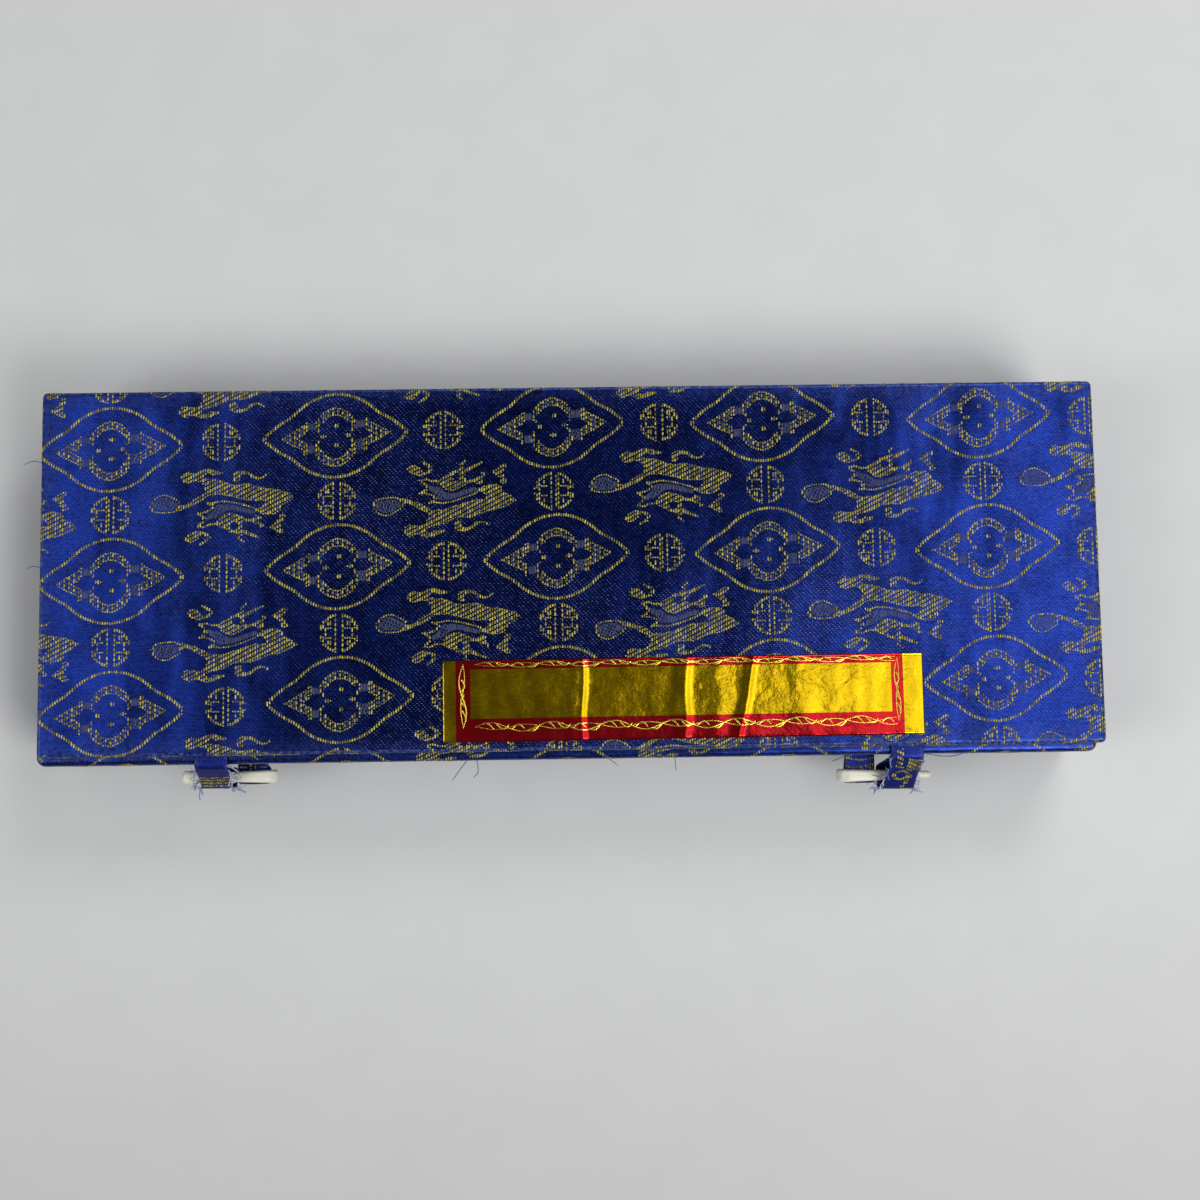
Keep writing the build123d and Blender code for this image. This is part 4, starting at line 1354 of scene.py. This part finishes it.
# %% The label's sheet
label_low, label_high = node_box("foil_label")
LABEL_HALF = (67.6, 11.45)
LABEL_TURN = math.radians(0.2)
label_middle = (label_low[:2] + label_high[:2]) / 2
BUCKLES = (  # place along the label, slant, height, width on the left, width on the right
    (-28.4, 0.02, 0.40, 2.4, 0.9), (0.6, 0.04, 0.44, 2.6, 1.2), (18.0, 0.22, 0.40, 1.6, 0.8),
    (9.6, 0.05, 0.10, 2.6, 2.2), (34.0, -0.12, 0.10, 4.0, 3.0), (50.0, 0.1, 0.08, 4.0, 5.0))
dents_at = np.random.default_rng(9)
DENTS = np.column_stack((dents_at.uniform(-60, 64, 46), dents_at.uniform(-10, 10, 46),
                         dents_at.uniform(-0.05, 0.05, 46), dents_at.uniform(1.6, 4.2, 46)))


def label_height(a, b):
    """How far the foil stands off the lid at a place on the label."""
    height = 0.22 + 0.02 * np.sin(a / 5.1) + 0.015 * np.sin(b / 2.3 + a / 9)
    for along, slant, rise, left, right in BUCKLES:
        past = a - along - slant * b + 0.25 * np.sin(b / 3.1 + along)
        height = height + rise * np.exp(-((past / np.where(past < 0, left, right)) ** 2))
    for along, across, rise, wide in DENTS:
        far = ((a - along) / wide) ** 2 + ((b - across) / (0.6 * wide)) ** 2
        height = height + rise * np.exp(-far)
    return np.maximum(height, 0.2)


def on_label(a, b, lift=0.0):
    """A place on the label, in the case's frame."""
    a, b = np.asarray(a, float), np.asarray(b, float)
    x = label_middle[0] + a * math.cos(LABEL_TURN) - b * math.sin(LABEL_TURN)
    y = label_middle[1] + a * math.sin(LABEL_TURN) + b * math.cos(LABEL_TURN)
    z = lid_high[2] + lid_wave(x, y) + label_height(a, b) + lift
    return np.stack((x, y, z), axis=-1)


RED = (-64.0, 62.0)  # where the lacquer starts and ends along the label
FIELD = (-59.8, 58.6, -4.9, 8.9)  # the bare gilt field inside the border
a_steps = np.unique(np.concatenate((
    np.linspace(-LABEL_HALF[0], LABEL_HALF[0], 340),
    [edge + s * 0.05 for edge in (*RED, *FIELD[:2]) for s in (-1, 1)])))
b_steps = np.unique(np.concatenate((
    np.linspace(-LABEL_HALF[1], LABEL_HALF[1], 30),
    [edge + s * 0.05 for edge in FIELD[2:] for s in (-1, 1)])))
a, b = np.meshgrid(a_steps, b_steps)
points = on_label(a, b).reshape(-1, 3)
printed = (a > RED[0]) & (a < RED[1]) & ~(
    (a > FIELD[0]) & (a < FIELD[1]) & (b > FIELD[2]) & (b < FIELD[3]))
label_sheet = make_piece(
    "label_sheet", points, quad_strip(len(b_steps), len(a_steps), False), label_finish,
    np.column_stack((a.ravel(), b.ravel())), values={"print": printed.ravel().astype(float)})
thicken(label_sheet, 0.06)
print("label_sheet", len(points), "points")

# %% Lines of the scroll


def line_strip(path, width, points, faces, lift=0.03):
    """A flat raised line on the label, closed along its sides, narrow at its ends."""
    path = np.asarray(path, float)
    way = np.gradient(path, axis=0)
    way /= np.linalg.norm(way, axis=1, keepdims=True) + 1e-9
    side = np.column_stack((-way[:, 1], way[:, 0]))
    taper = np.sin(np.linspace(0.12, math.pi - 0.12, len(path))) ** 0.5
    start = len(points)
    for share, high in ((0.5, -0.03), (0.32, lift), (-0.32, lift), (-0.5, -0.03)):
        at = path + side * (width * share * taper)[:, None]
        for i, p in enumerate(on_label(at[:, 0], at[:, 1], high)):
            points.append(p)
    n = len(path)
    for k in range(4):
        low, high = start + k * n, start + ((k + 1) % 4) * n
        for i in range(n - 1):
            faces.append((low + i, low + i + 1, high + i + 1, high + i))
    faces.append(tuple(start + k * n for k in range(4)))
    faces.append(tuple(start + k * n + n - 1 for k in reversed(range(4))))


VINE = 2 * math.pi / 17.3  # one full wave of the vine, per millimetre


def scroll(start, end, middle, swing, upright, points, faces):
    """Two vines that wave across each other between two places, with a leaf at every bend."""
    def lay(along, across, width):
        path = np.column_stack((across, along) if upright else (along, across))
        line_strip(path, width, points, faces)

    for turn, size, width in ((0.0, 1.0, 0.40), (2.7, 0.55, 0.30)):
        along = np.linspace(start, end, int(abs(end - start) * 4))
        lay(along, middle + size * swing * np.sin((along - start) * VINE + turn), width)
    for i, at in enumerate(np.arange(start + 1.6, end - 3.5, 17.3 / 4)):
        s = np.linspace(0, 1, 12)
        side = -1 if i % 2 else 1
        root = swing * math.sin((at - start) * VINE)
        leaf = root * (1 - s) ** 2 + side * swing * (0.9 * np.sin(math.pi * s) - 0.5 * s)
        lay(at + 3.6 * s, middle + leaf, 0.5)


points, faces = [], []
scroll(-58.6, 60.0, -7.3, 1.25, False, points, faces)
scroll(-58.6, 60.0, 10.15, 0.8, False, points, faces)
scroll(-7.6, 10.4, -62.0, 1.0, True, points, faces)
scroll(-7.6, 10.4, 60.3, 0.8, True, points, faces)
label_scroll = make_piece("label_scroll", points, faces, scroll_finish)
for piece in (label_sheet, label_scroll):
    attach(piece, "lid")
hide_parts("foil_label")
print("label_scroll", len(faces), "faces")

# %% [markdown]
# ## The bone pegs
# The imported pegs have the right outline, taper and slot. The real ones were tumbled smooth, so a
# copy is merged, remeshed in fine cubes and smoothed, which rounds every edge alike.

# %% Smooth pegs


TUMBLE_VOXEL, TUMBLE_ROUNDS = 0.24, 7


def tumbled(name, node, fuller):
    """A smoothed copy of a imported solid, with its edges marked for wear and its tip made fuller."""
    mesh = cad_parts[node].data.copy()
    mesh.name = name
    piece = bpy.data.objects.new(name, mesh)
    bpy.context.scene.collection.objects.link(piece)
    merge = piece.modifiers.new("merge", "WELD")
    merge.merge_threshold = 0.01 * MM
    remesh = piece.modifiers.new("remesh", "REMESH")
    remesh.mode = "VOXEL"
    remesh.voxel_size = TUMBLE_VOXEL * MM
    remesh.use_smooth_shade = True
    smooth = piece.modifiers.new("smooth", "SMOOTH")
    smooth.factor, smooth.iterations = 0.5, TUMBLE_ROUNDS
    result = shown_mesh(piece)
    piece.modifiers.clear()
    piece.data = result
    result.materials.clear()
    result.materials.append(bone_finish)
    co = raw_places(result) / MM
    low, high = co.min(0), co.max(0)
    from_tip = (co[:, 0] - low[0]) / (high[0] - low[0])
    middle = (low[1] + high[1]) / 2
    swell = 1 + fuller * np.clip((0.42 - from_tip) / 0.3, 0, 1)
    co[:, 1] = np.clip(middle + (co[:, 1] - middle) * swell, low[1], high[1])
    result.vertices.foreach_set("co", (co * MM).ravel())
    reach = np.abs(co - (low + high) / 2) / ((high - low) / 2)
    edge = np.clip((np.sort(reach, axis=1)[:, 1] - 0.75) * 3, 0, 1)
    attribute = result.attributes.new("edge", "FLOAT", "POINT")
    attribute.data.foreach_set("value", edge.astype(np.float32))
    print(name, len(result.polygons), "faces")
    return piece


for side, fuller in (("left", 0.9), ("right", 0.0)):
    peg = tumbled(side + "_bone_peg", side + "_peg", fuller)
    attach(peg, side + "_peg")
    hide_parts(side + "_peg")

# %% [markdown]
# ## Straps and loops
# Each is a narrow strip of brocade folded lengthwise. It follows a line of straight runs and soft
# bends. The strip is a little uneven, its gold floats follow it, and the loops' cut edges are frayed.

# %% A line with soft bends


def soft_line(corners, radius, steps=6):
    """Points of a line through corners, each bend an arc, as depth and height."""
    corners = [np.array(c, float) for c in corners]
    line = [corners[0]]
    for before, here, after in zip(corners, corners[1:], corners[2:]):
        to_before, to_after = before - here, after - here
        len_before, len_after = np.linalg.norm(to_before), np.linalg.norm(to_after)
        to_before, to_after = to_before / len_before, to_after / len_after
        half = math.acos(float(np.clip(to_before @ to_after, -1, 1))) / 2
        cut = min(radius / max(math.tan(half), 0.05), len_before * 0.48, len_after * 0.48)
        for s in np.linspace(0, 1, steps):
            line.append((1 - s) ** 2 * (here + to_before * cut) + 2 * s * (1 - s) * here
                        + s ** 2 * (here + to_after * cut))
    line.append(corners[-1])
    return np.array(line)


def even_line(line, step):
    """The same line at even steps."""
    length = np.concatenate(([0], np.cumsum(np.linalg.norm(np.diff(line, axis=0), axis=1))))
    keep = np.concatenate(([True], np.diff(length) > 1e-6))
    at = np.linspace(0, length[-1], int(length[-1] / step) + 1)
    return np.column_stack([np.interp(at, length[keep], line[keep, i]) for i in range(2)]), at


class Band:
    """A folded strip of brocade that follows a line in depth and height at one place along X."""

    def __init__(self, name, middle, width, corners, radius, lean, seed):
        self.name, self.middle, self.width, self.lean = name, middle, width, lean
        self.line, self.at = even_line(soft_line(corners, radius), 0.45)
        self.rng = np.random.default_rng(seed)
        self.phase = self.rng.random(4) * 6

    def surface(self, u, v):
        """Where a point of the strip lies: u across, v along."""
        y, z = (np.interp(v, self.at, self.line[:, i]) for i in range(2))
        dy, dz = (np.interp(v + 0.3, self.at, self.line[:, i])
                  - np.interp(v - 0.3, self.at, self.line[:, i]) for i in range(2))
        size = np.hypot(dy, dz) + 1e-9
        out_y, out_z = dz / size, -dy / size
        edge = np.abs(u) / (self.width / 2)
        swell = 0.10 * (1 - edge ** 2) + 0.05 * np.sin(v / 1.7 + self.phase[0]) * edge
        hang = np.clip((28 - z) / 12, 0, 1) * np.clip((-52.5 - y) / 3, 0, 1)
        sway = self.lean * hang + 0.12 * np.sin(v / 3.1 + self.phase[1])
        x = self.middle + sway + u * (1 + 0.02 * np.sin(v / 2.3 + self.phase[2]))
        points = np.column_stack((x, y + out_y * (swell + 0.22), z + out_z * (swell + 0.22)))
        return points, np.column_stack((0 * u, out_y, out_z))

    def sheet(self, finish):
        """The strip itself, a closed sheet half a millimetre thick."""
        across = np.linspace(-self.width / 2, self.width / 2, 15)
        u, v = np.meshgrid(across, self.at)
        points, _ = self.surface(u.ravel(), v.ravel())
        faces = [tuple(reversed(f)) for f in quad_strip(len(self.at), len(across), False)]
        edge = np.clip(np.abs(u.ravel()) / (self.width / 2) * 4 - 3.1, 0, 1)
        uv = np.column_stack((u.ravel() + self.middle, v.ravel()))
        piece = make_piece(self.name, points, faces, finish, uv, values={"edge": edge})
        return thicken(piece, 0.46)

    def threads(self, shift, start, end, seed, figures, thread=GOLD):
        """The gold floats on the strip."""
        half = self.width / 2 - 0.35
        gold, _ = read_pattern(shift - half, shift + half, start, end, figures)
        gold = gold - np.array([shift, 0, 0])
        return lay_threads(self.name + "_gold", gold, self.surface, thread, seed)


# %% Frayed ends


def curl(start, heading, length, rng, droop=0.5, twist=1.2):
    """A loose thread: a line that wanders, droops and curls."""
    here, way = np.array(start, float), np.array(heading, float)
    way /= np.linalg.norm(way)
    bend = rng.normal(0, 1, 3)
    line = [here.copy()]
    for i in range(11):
        bend = 0.75 * bend + 0.5 * rng.normal(0, 1, 3)
        way = way + 0.16 * twist * bend - np.array([0, 0, 0.05 * droop])
        way /= np.linalg.norm(way)
        here = here + way * length / 11
        here[2] = max(here[2], 0.2)
        line.append(here.copy())
    return np.array(line)


def thread_tubes(name, lines, radius, finish, seed):
    """Loose threads as thin closed tubes of five sides."""
    points, faces, tones = [], [], []
    rng = np.random.default_rng(seed)
    for line in map(np.array, lines):
        way = np.gradient(line, axis=0)
        way /= np.linalg.norm(way, axis=1, keepdims=True) + 1e-9
        side = np.cross(way, (0.3, 0.2, 0.93))
        side /= np.linalg.norm(side, axis=1, keepdims=True) + 1e-9
        up = np.cross(side, way)
        start, tone = len(points), rng.random()
        for i in range(len(line)):
            fat = radius * (1 if i < len(line) - 1 else 0.5)
            for k in range(5):
                a = 2 * math.pi * k / 5
                points.append(line[i] + fat * (math.cos(a) * side[i] + math.sin(a) * up[i]))
                tones.append(tone)
        faces += quad_strip(len(line), 5, True, start)
        faces.append(tuple(reversed(range(start, start + 5))))
        faces.append(tuple(range(len(points) - 5, len(points))))
    piece = make_piece(name, points, faces, finish, values={"tone": tones})
    print(name, len(lines), "threads")
    return piece


# %% The straps
front = -y_half
for side, standoff, seed in (("left", 1.9, 41), ("right", 4.2, 42)):
    low, high = STRAPS[side + "_strap"]
    middle_y = front - standoff - 1.9
    reach = 1.9 + 0.02
    corners = [(front + 1.5, 17.35), (middle_y - reach, 17.35), (middle_y - reach, 12.95),
               (middle_y + reach, 12.95), (front - 0.6, 16.6), (front + 1.5, 16.6)]
    band = Band(side + "_band_strap", (low[0] + high[0]) / 2, high[0] - low[0], corners, 0.7, 0.0,
                seed)
    pieces = [band.sheet(band_blue),
              band.threads(31 * (seed - 41), 1.0, band.at[-1] - 1.0, seed, wall_figures)]
    for piece in pieces:
        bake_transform(piece)
    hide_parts(side + "_strap")

# %% What the loops' strips were cut from


def three_rows(x, y):
    """Rows of floats side by side, at the end of a figure, a little crooked."""
    crooked = y + 0.16 * np.sin(1.9 * x + 0.8)
    return (np.mod(crooked, 1.55) < 1.22) & (np.abs(crooked) < 2.6), np.zeros(x.shape, bool)


def flank(x, y):
    """The side of a dragon, with a ring below it."""
    body = (x + 0.55 * y > -0.6) & (x + 0.55 * y < 3.4) & (np.abs(y) < 6.5)
    return body | (np.abs(np.hypot(x + 1.2, y - 4.6) - 1.7) < 0.5) | (
        np.abs(x + 1.5 + 0.3 * y) < 0.6) & (y < 0), np.zeros(x.shape, bool)


def claws(x, y):
    """A column of short floats, the side of a dragon next to it, and a ring below them."""
    column = (np.abs(x + 2.0 - 0.1 * y) < 1.05) & (y > -5.2) & (y < 1.6)
    column &= np.mod(y - 0.5 * x, 1.7) < 1.3
    side = (x > 0.3) & (y > -2.4 + 0.2 * x) & (y < 3.6 - 0.3 * x)
    ring_below = np.abs(np.hypot(x + 0.6, (y - 4.6) * 1.1) - 1.9) < 0.6
    return column | side | ring_below, np.zeros(x.shape, bool)


loop_figures = {"left": [(three_rows, 0.0, 20.6), (flank, 3.0, 33.0)],
                "right": [(claws, 0.2, 15.8), (flank, 0, 34)]}
print("figures on the loops:", {side: len(found) for side, found in loop_figures.items()})

# %% The loops, which ride on the lid
FRAYS = 44  # loose threads along each loop's cut edges
LONG_FRAYS = (
    ((-96.2, -53.4, 25), (-94.3, -55.1, 23), (-93.9, -56.7, 20), (-94.5, -58.2, 17),
     (-95.8, -59.4, 14), (-96.6, -60.3, 13), (-95.6, -61.6, 12.5), (-94.7, -62.0, 12)),
    ((-104.2, -52.0, 27), (-106.5, -55.4, 23), (-108.2, -58.7, 18), (-109.8, -59.8, 15)))
for side, standoff, half_width, half_thick, slack, lean, seed in (
    ("left", 1.9, 2.55, 1.55, 0.8, -0.5, 51), ("right", 4.2, 2.4, 1.5, 1.6, -1.6, 52)):
    low, high = LOOPS[side + "_loop"]
    middle_y = front - standoff - 1.9
    over, under = 17 + half_width + 0.6, 17 - half_width - 0.6
    out_y, in_y = middle_y - half_thick - 0.55 - slack, middle_y + half_thick + 0.55
    corners = [(lid_low[1] + 10, 29.35), (front - 0.7, 29.35), (out_y, over), (out_y, under),
               (in_y, under), (front - 0.65, 26.6), (front - 0.1, 28.72), (lid_low[1] + 10, 28.72)]
    band = Band(side + "_band_loop", (low[0] + high[0]) / 2, high[0] - low[0], corners, 1.3, lean,
                seed)
    pieces = [band.sheet(band_blue), band.threads(
        0, 9.0, band.at[-1] - 11.0, seed, loop_figures[side], BOLD_GOLD)]
    rng = np.random.default_rng(seed)
    lines = []
    for k in range(FRAYS):
        edge = -1 if k % 2 else 1
        v = rng.uniform(12, band.at[-1] * 0.55)
        root, _ = band.surface(np.array([edge * band.width / 2]), np.array([v]))
        heading = (edge * rng.uniform(0.3, 1), rng.uniform(-0.9, 0.2), rng.uniform(-0.8, 0.1))
        lines.append(curl(root[0], heading, rng.uniform(1.2, 4.6), rng))
    if side == "left":
        lines += [soften(line) for line in LONG_FRAYS]
    pieces.append(thread_tubes(side + "_loop_fray", lines, 0.16, fray_thread, seed))
    for piece in pieces:
        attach(piece, "lid")
    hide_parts(side + "_loop")

# %% Loose threads along the edges
LOOSE = (
    ((101.0, -52.6, 25), (105.9, -53.4, 20), (110.6, -53.7, 18), (113.4, -52.8, 21),
     (115.3, -50.4, 28.6)),
    ((80.6, -53.0, 17.5), (78.6, -53.8, 16.5), (76.4, -54.8, 15)),
    ((-28.4, -52.2, 28), (-31.0, -55.2, 24), (-33.8, -58.7, 20)),
    ((10.5, -52.2, 28), (13.9, -54.8, 25)),
    ((-26.6, -52.2, 22), (-26.4, -56.0, 18), (-28.0, -58.0, 15)),
    ((30.6, -52.2, 15), (31.2, -57.0, 11)),
    ((-149.8, 34.0, 24), (-154.5, 35.6, 21), (-158.5, 34.8, 19)),
    ((-149.8, 3.6, 20), (-155.0, 5.2, 18), (-158.0, 4.6, 16)),
    ((149.8, 35.0, 24), (153.0, 33.6, 21), (154.6, 35.6, 19)),
    ((-120.0, 53.0, 6), (-121.5, 56.0, 3.5)))
loose_threads = thread_tubes(
    "loose_threads", [np.array(soften(line)) for line in LOOSE], 0.12, blue_thread, 61)
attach(loose_threads, "tray")

# %% [markdown]
# ## The padded bed
# Inside, a satin cover is glued over foam ribs and down into the channels between them. The cover
# is one sheet: its section across the tray is swept along, and lifts onto the block at each end.
# It puckers a little along the channels, where the satin is pressed in.

# %% The section across the bed
bed_low, bed_high = node_box("bed_satin")
CHANNEL_FLOOR, BED_TOP = bed_low[2] + 0.32, bed_high[2] + 0.03
RIB_HALF, RIB_PITCH, SIDE_RIB = 3.3, 19.4, 3.85
across = [(-bed_high[1], CHANNEL_FLOOR + 4), (-bed_high[1], BED_TOP - 0.25),
          (-bed_high[1] + 0.3, BED_TOP)]
across += [(-bed_high[1] + SIDE_RIB - 3.0 + 3.0 * math.sin(a), BED_TOP - 3.0 + 3.0 * math.cos(a))
           for a in np.radians(np.linspace(0, 90, 7))]
for middle in (-1.5 * RIB_PITCH, -0.5 * RIB_PITCH, 0.5 * RIB_PITCH, 1.5 * RIB_PITCH):
    across += [(middle - RIB_HALF, CHANNEL_FLOOR), (middle - RIB_HALF, CHANNEL_FLOOR + 3)]
    across += [(middle - RIB_HALF * math.cos(a), BED_TOP - 3.2 + 3.2 * math.sin(a))
               for a in np.radians(np.linspace(0, 180, 13))]
    across += [(middle + RIB_HALF, CHANNEL_FLOOR + 3), (middle + RIB_HALF, CHANNEL_FLOOR)]
across[10:10] = [(-bed_high[1] + SIDE_RIB, CHANNEL_FLOOR + 3),
                 (-bed_high[1] + SIDE_RIB, CHANNEL_FLOOR)]
across += [(-y, z) for y, z in across[:12]][::-1]
across, _ = even_line(np.array(across), 0.8)
print("section of the bed:", len(across), "points")

# %% The bed's satin
BLOCK_FACE = 134.0
PAST_FACE = (-0.4, -0.1, 0.02, 0.3, 0.8, 1.5, 2.3, 5.0, 9.0, 12.25)
stations = np.sort(np.concatenate((
    np.linspace(-BLOCK_FACE + 0.8, BLOCK_FACE - 0.8, 180),
    [s * (BLOCK_FACE + d) for s in (-1, 1) for d in PAST_FACE])))
spread_y = np.linspace(across[0, 0], across[-1, 0], len(across))
rng = np.random.default_rng(61)
pucker_phase = rng.random((5, 3)) * 6.28
points, uv = [], []
for x in stations:
    past = abs(x) - BLOCK_FACE
    if past < 0:
        y, z = across[:, 0], across[:, 1]
        depth = np.clip((BED_TOP - z) / (BED_TOP - CHANNEL_FLOOR), 0, 1)
        pucker = 0.0
        for k in range(3):
            wave = x / (1.9 + 1.3 * k) + pucker_phase[k, 0] + y * (0.3 + 0.21 * k)
            pucker = pucker + np.sin(wave) / (k + 1)
        near_end = np.clip((past + 7) / 7, 0, 1)
        z = z + (0.10 + 0.12 * near_end) * (pucker + 1.9) * depth * (1 - depth * 0.6) * 0.5
    else:
        y = spread_y
        lift = min(past, 2.3)
        crown = BED_TOP - 2.3 + math.sqrt(max(2.3 ** 2 - (2.3 - lift) ** 2, 0))
        z = np.maximum(np.full(len(y), crown + 0.05 * math.sin(x)), 0) + 0.06 * np.sin(y / 2.1 + x)
        z = z - 0.4 * (np.abs(y) > 48.9)
    for yy, zz in zip(y, z):
        points.append((x, yy, zz))
        uv.append((x, yy + zz))
faces = [tuple(reversed(f)) for f in quad_strip(len(stations), len(across), False)]
bed_cover = make_piece("bed_cover", points, faces, satin_finish, uv)
thicken(bed_cover, 0.24)
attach(bed_cover, "tray")
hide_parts("bed_satin")
print("bed_cover", len(points), "points")

# %% The satin inside the walls
lining_low, lining_high = node_box("wall_lining")
rows = [(0.47, lining_low[2]), (0.47, 6.0), (0.45, 9.0), (0.45, 13.0), (0.46, 17.0), (0.46, 21.0),
        (0.47, lining_high[2] - 0.3), (0.35, lining_high[2])]
stations_x = np.linspace(lining_low[0] + 1, lining_high[0] - 1, 161)
stations_y = np.linspace(lining_low[1] + 1, lining_high[1] - 1, 61)
points, uv, per_ring = wrap_of_rings(
    rows, lining_high[0], lining_high[1], 0.9, stations_x, stations_y)
ripple = 0.03 * np.sin(points[:, 0] / 2.7 + points[:, 1] / 3.3)
ripple = ripple * np.sin(points[:, 2] / 5 + points[:, 0] / 31)
centre = np.sign(points[:, :2])
long_wall = np.abs(np.abs(points[:, 1]) - lining_high[1]) < 0.6
points[:, 1] -= ripple * centre[:, 1] * long_wall
points[:, 0] -= ripple * centre[:, 0] * ~long_wall
uv[:, 1] = points[:, 2]
faces = [tuple(reversed(f)) for f in quad_strip(len(rows), per_ring, True)]
wall_satin = make_piece("wall_satin", points, faces, satin_finish, uv)
close_seam(wall_satin, 500)
thicken(wall_satin, 0.4)
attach(wall_satin, "tray")
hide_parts("wall_lining")
print("wall_satin", len(points), "points")

# %% [markdown]
# ## The lid's cushion
# Under the lid a satin cushion keeps the brushes still. Its cover is drawn round wadding and a
# card and glued, so it is fullest in the middle, tight at the rim, and creased at the corners.

# %% The cushion
pad_low, pad_high = node_box("pad_satin")
pad_x, pad_y = np.linspace(-1, 1, 131), np.linspace(-1, 1, 57)
half_x, half_y = (pad_high[0] - pad_low[0]) / 2, (pad_high[1] - pad_low[1]) / 2
middle_x, middle_y = (pad_high[0] + pad_low[0]) / 2, (pad_high[1] + pad_low[1]) / 2
PAD_EDGE, PAD_CROWN = 2.1, 1.5
PAD_TOP_INSET = 2.3  # where the rings end and the grid starts


def cushion_ring(inset):
    """The cushion's outline, drawn in by inset."""
    xs, ys = pad_x * (half_x - inset), pad_y * (half_y - inset)
    return ring(xs, ys, max(PAD_TOP_INSET - inset, 0.02), CORNER_STEPS)


profile = [(0.35, pad_high[2] - 0.02), (0.05, pad_high[2] - 0.3), (0.0, pad_high[2] - 0.9),
           (0.12, pad_high[2] - 1.4), (0.5, pad_high[2] - 1.85), (1.1, pad_high[2] - PAD_EDGE),
           (PAD_TOP_INSET, pad_high[2] - PAD_EDGE - 0.25)]


def cushion_drop(x, y):
    """How much lower than its edge the wadding hangs, before the cover is drawn over it."""
    u, v = np.clip(np.abs(x) / half_x, 0, 1), np.clip(np.abs(y) / half_y, 0, 1)
    full = (1 - u ** 10) * (1 - v ** 2.6) ** 0.7
    tucks = 0.05 * np.sin(x * 0.9 + 2.0 * np.sin(x / 9.0)) * np.abs(v) ** 3
    slack = 0.05 * np.sin(x / 13 + 1) * np.sin(y / 9 + x / 40)
    return (PAD_CROWN * 0.6 + tucks) * full + slack * full


points = []
for inset, z in profile:
    ringed = cushion_ring(inset)
    for x, y in ringed:
        drop = cushion_drop(np.array(x), np.array(y)) * (inset > 1.0) * min((inset - 1.0) / 1.3, 1)
        points.append((x, y, z - max(float(drop), 0) * (inset > 1.0)))
per_ring = len(ringed)
faces = quad_strip(len(profile), per_ring, True)
start = len(points)
low_edge = profile[-1][1]
xs, ys = pad_x * (half_x - PAD_TOP_INSET), pad_y * (half_y - PAD_TOP_INSET)
for y in ys:
    for x in xs:
        points.append((x, y, low_edge - max(float(cushion_drop(np.array(x), np.array(y))), 0)))
faces += grid_in_ring(start, len(xs), len(ys), (len(profile) - 1) * per_ring, CORNER_STEPS)
faces = [tuple(reversed(f)) for f in faces]
top = len(points)
points.append((0, 0, pad_high[2] - 0.02))
faces += [(i, (i + 1) % per_ring, top) for i in range(per_ring)]
points = np.array(points) + np.array([middle_x, middle_y, 0])
lid_cushion = make_piece("lid_cushion", points, faces, satin_finish)
weld(lid_cushion)

# %% [markdown]
# The cover is then simulated as cloth. Its rim is glued, it is cut a little too large, and the
# wadding presses from inside, so it fills out and puckers along the rim. How far it may move is
# capped, because the bed is close below when the lid is shut.

# %% Let the cover fill out
COVER_FRAMES, COVER_CAP = 20, 1.8

before = raw_places(lid_cushion.data) / MM
glued = lid_cushion.vertex_groups.new(name="glued")
glued.add([i for i, p in enumerate(before) if p[2] > pad_high[2] - 1.0], 1.0, "REPLACE")
cover = lid_cushion.modifiers.new("cover", "CLOTH")
cover.settings.quality = 6
cover.settings.mass = 0.001
cover.settings.tension_stiffness = cover.settings.compression_stiffness = 10
cover.settings.bending_stiffness = 0.05
cover.settings.shrink_min = -0.009
cover.settings.use_pressure = True
cover.settings.uniform_pressure_force = 0.5
cover.settings.effector_weights.gravity = 0
cover.settings.vertex_group_mass = "glued"
cover.collision_settings.use_collision = False
cover.point_cache.frame_end = COVER_FRAMES
for moment in range(1, COVER_FRAMES + 1):
    bpy.context.scene.frame_set(moment)
ready = lid_cushion.evaluated_get(bpy.context.evaluated_depsgraph_get())
moved = raw_places(ready.data) / MM - before
lid_cushion.modifiers.remove(cover)
bpy.context.scene.frame_set(1)
far = np.linalg.norm(moved, axis=1, keepdims=True)
print("the cover moved up to", round(float(far.max()), 2), "mm, capped at", COVER_CAP)
after = before + moved / np.maximum(far, 1e-6) * COVER_CAP * np.tanh(far / COVER_CAP)
lid_cushion.data.vertices.foreach_set("co", (after * MM).ravel())
lid_cushion.data.update()
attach(lid_cushion, "lid")
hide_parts("pad_satin", "lid_pad")
print("lid_cushion", len(points), "points")

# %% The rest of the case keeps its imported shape, with its own finish
node_finishes = (
    (board_finish, ("front_wall_board", "back_wall_board", "left_wall_board", "right_wall_board",
                    "base_board", "lid_board")),
    (card_finish, ("base_card", "lid_card", "wall_cloth", "back_cloth", "hinge_cloth",
                   "left_strap", "right_strap", "left_loop", "right_loop")),
    (foam_finish, ("bed_foam", "bed_ribs", "bed_end_blocks", "lid_pad")),
    (satin_finish, ("bed_satin", "wall_lining", "pad_satin")),
    (scroll_finish, ("foil_label",)),
    (bone_finish, ("left_peg", "right_peg")),
)
for finish, nodes in node_finishes:
    for node in nodes:
        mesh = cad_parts[node].data
        mesh.materials.clear()
        mesh.materials.append(finish)
print("finishes on", sum(len(nodes) for _, nodes in node_finishes), "packed nodes")

# %% Remove the one float that the threads were laid from
bpy.data.objects.remove(float_shape)
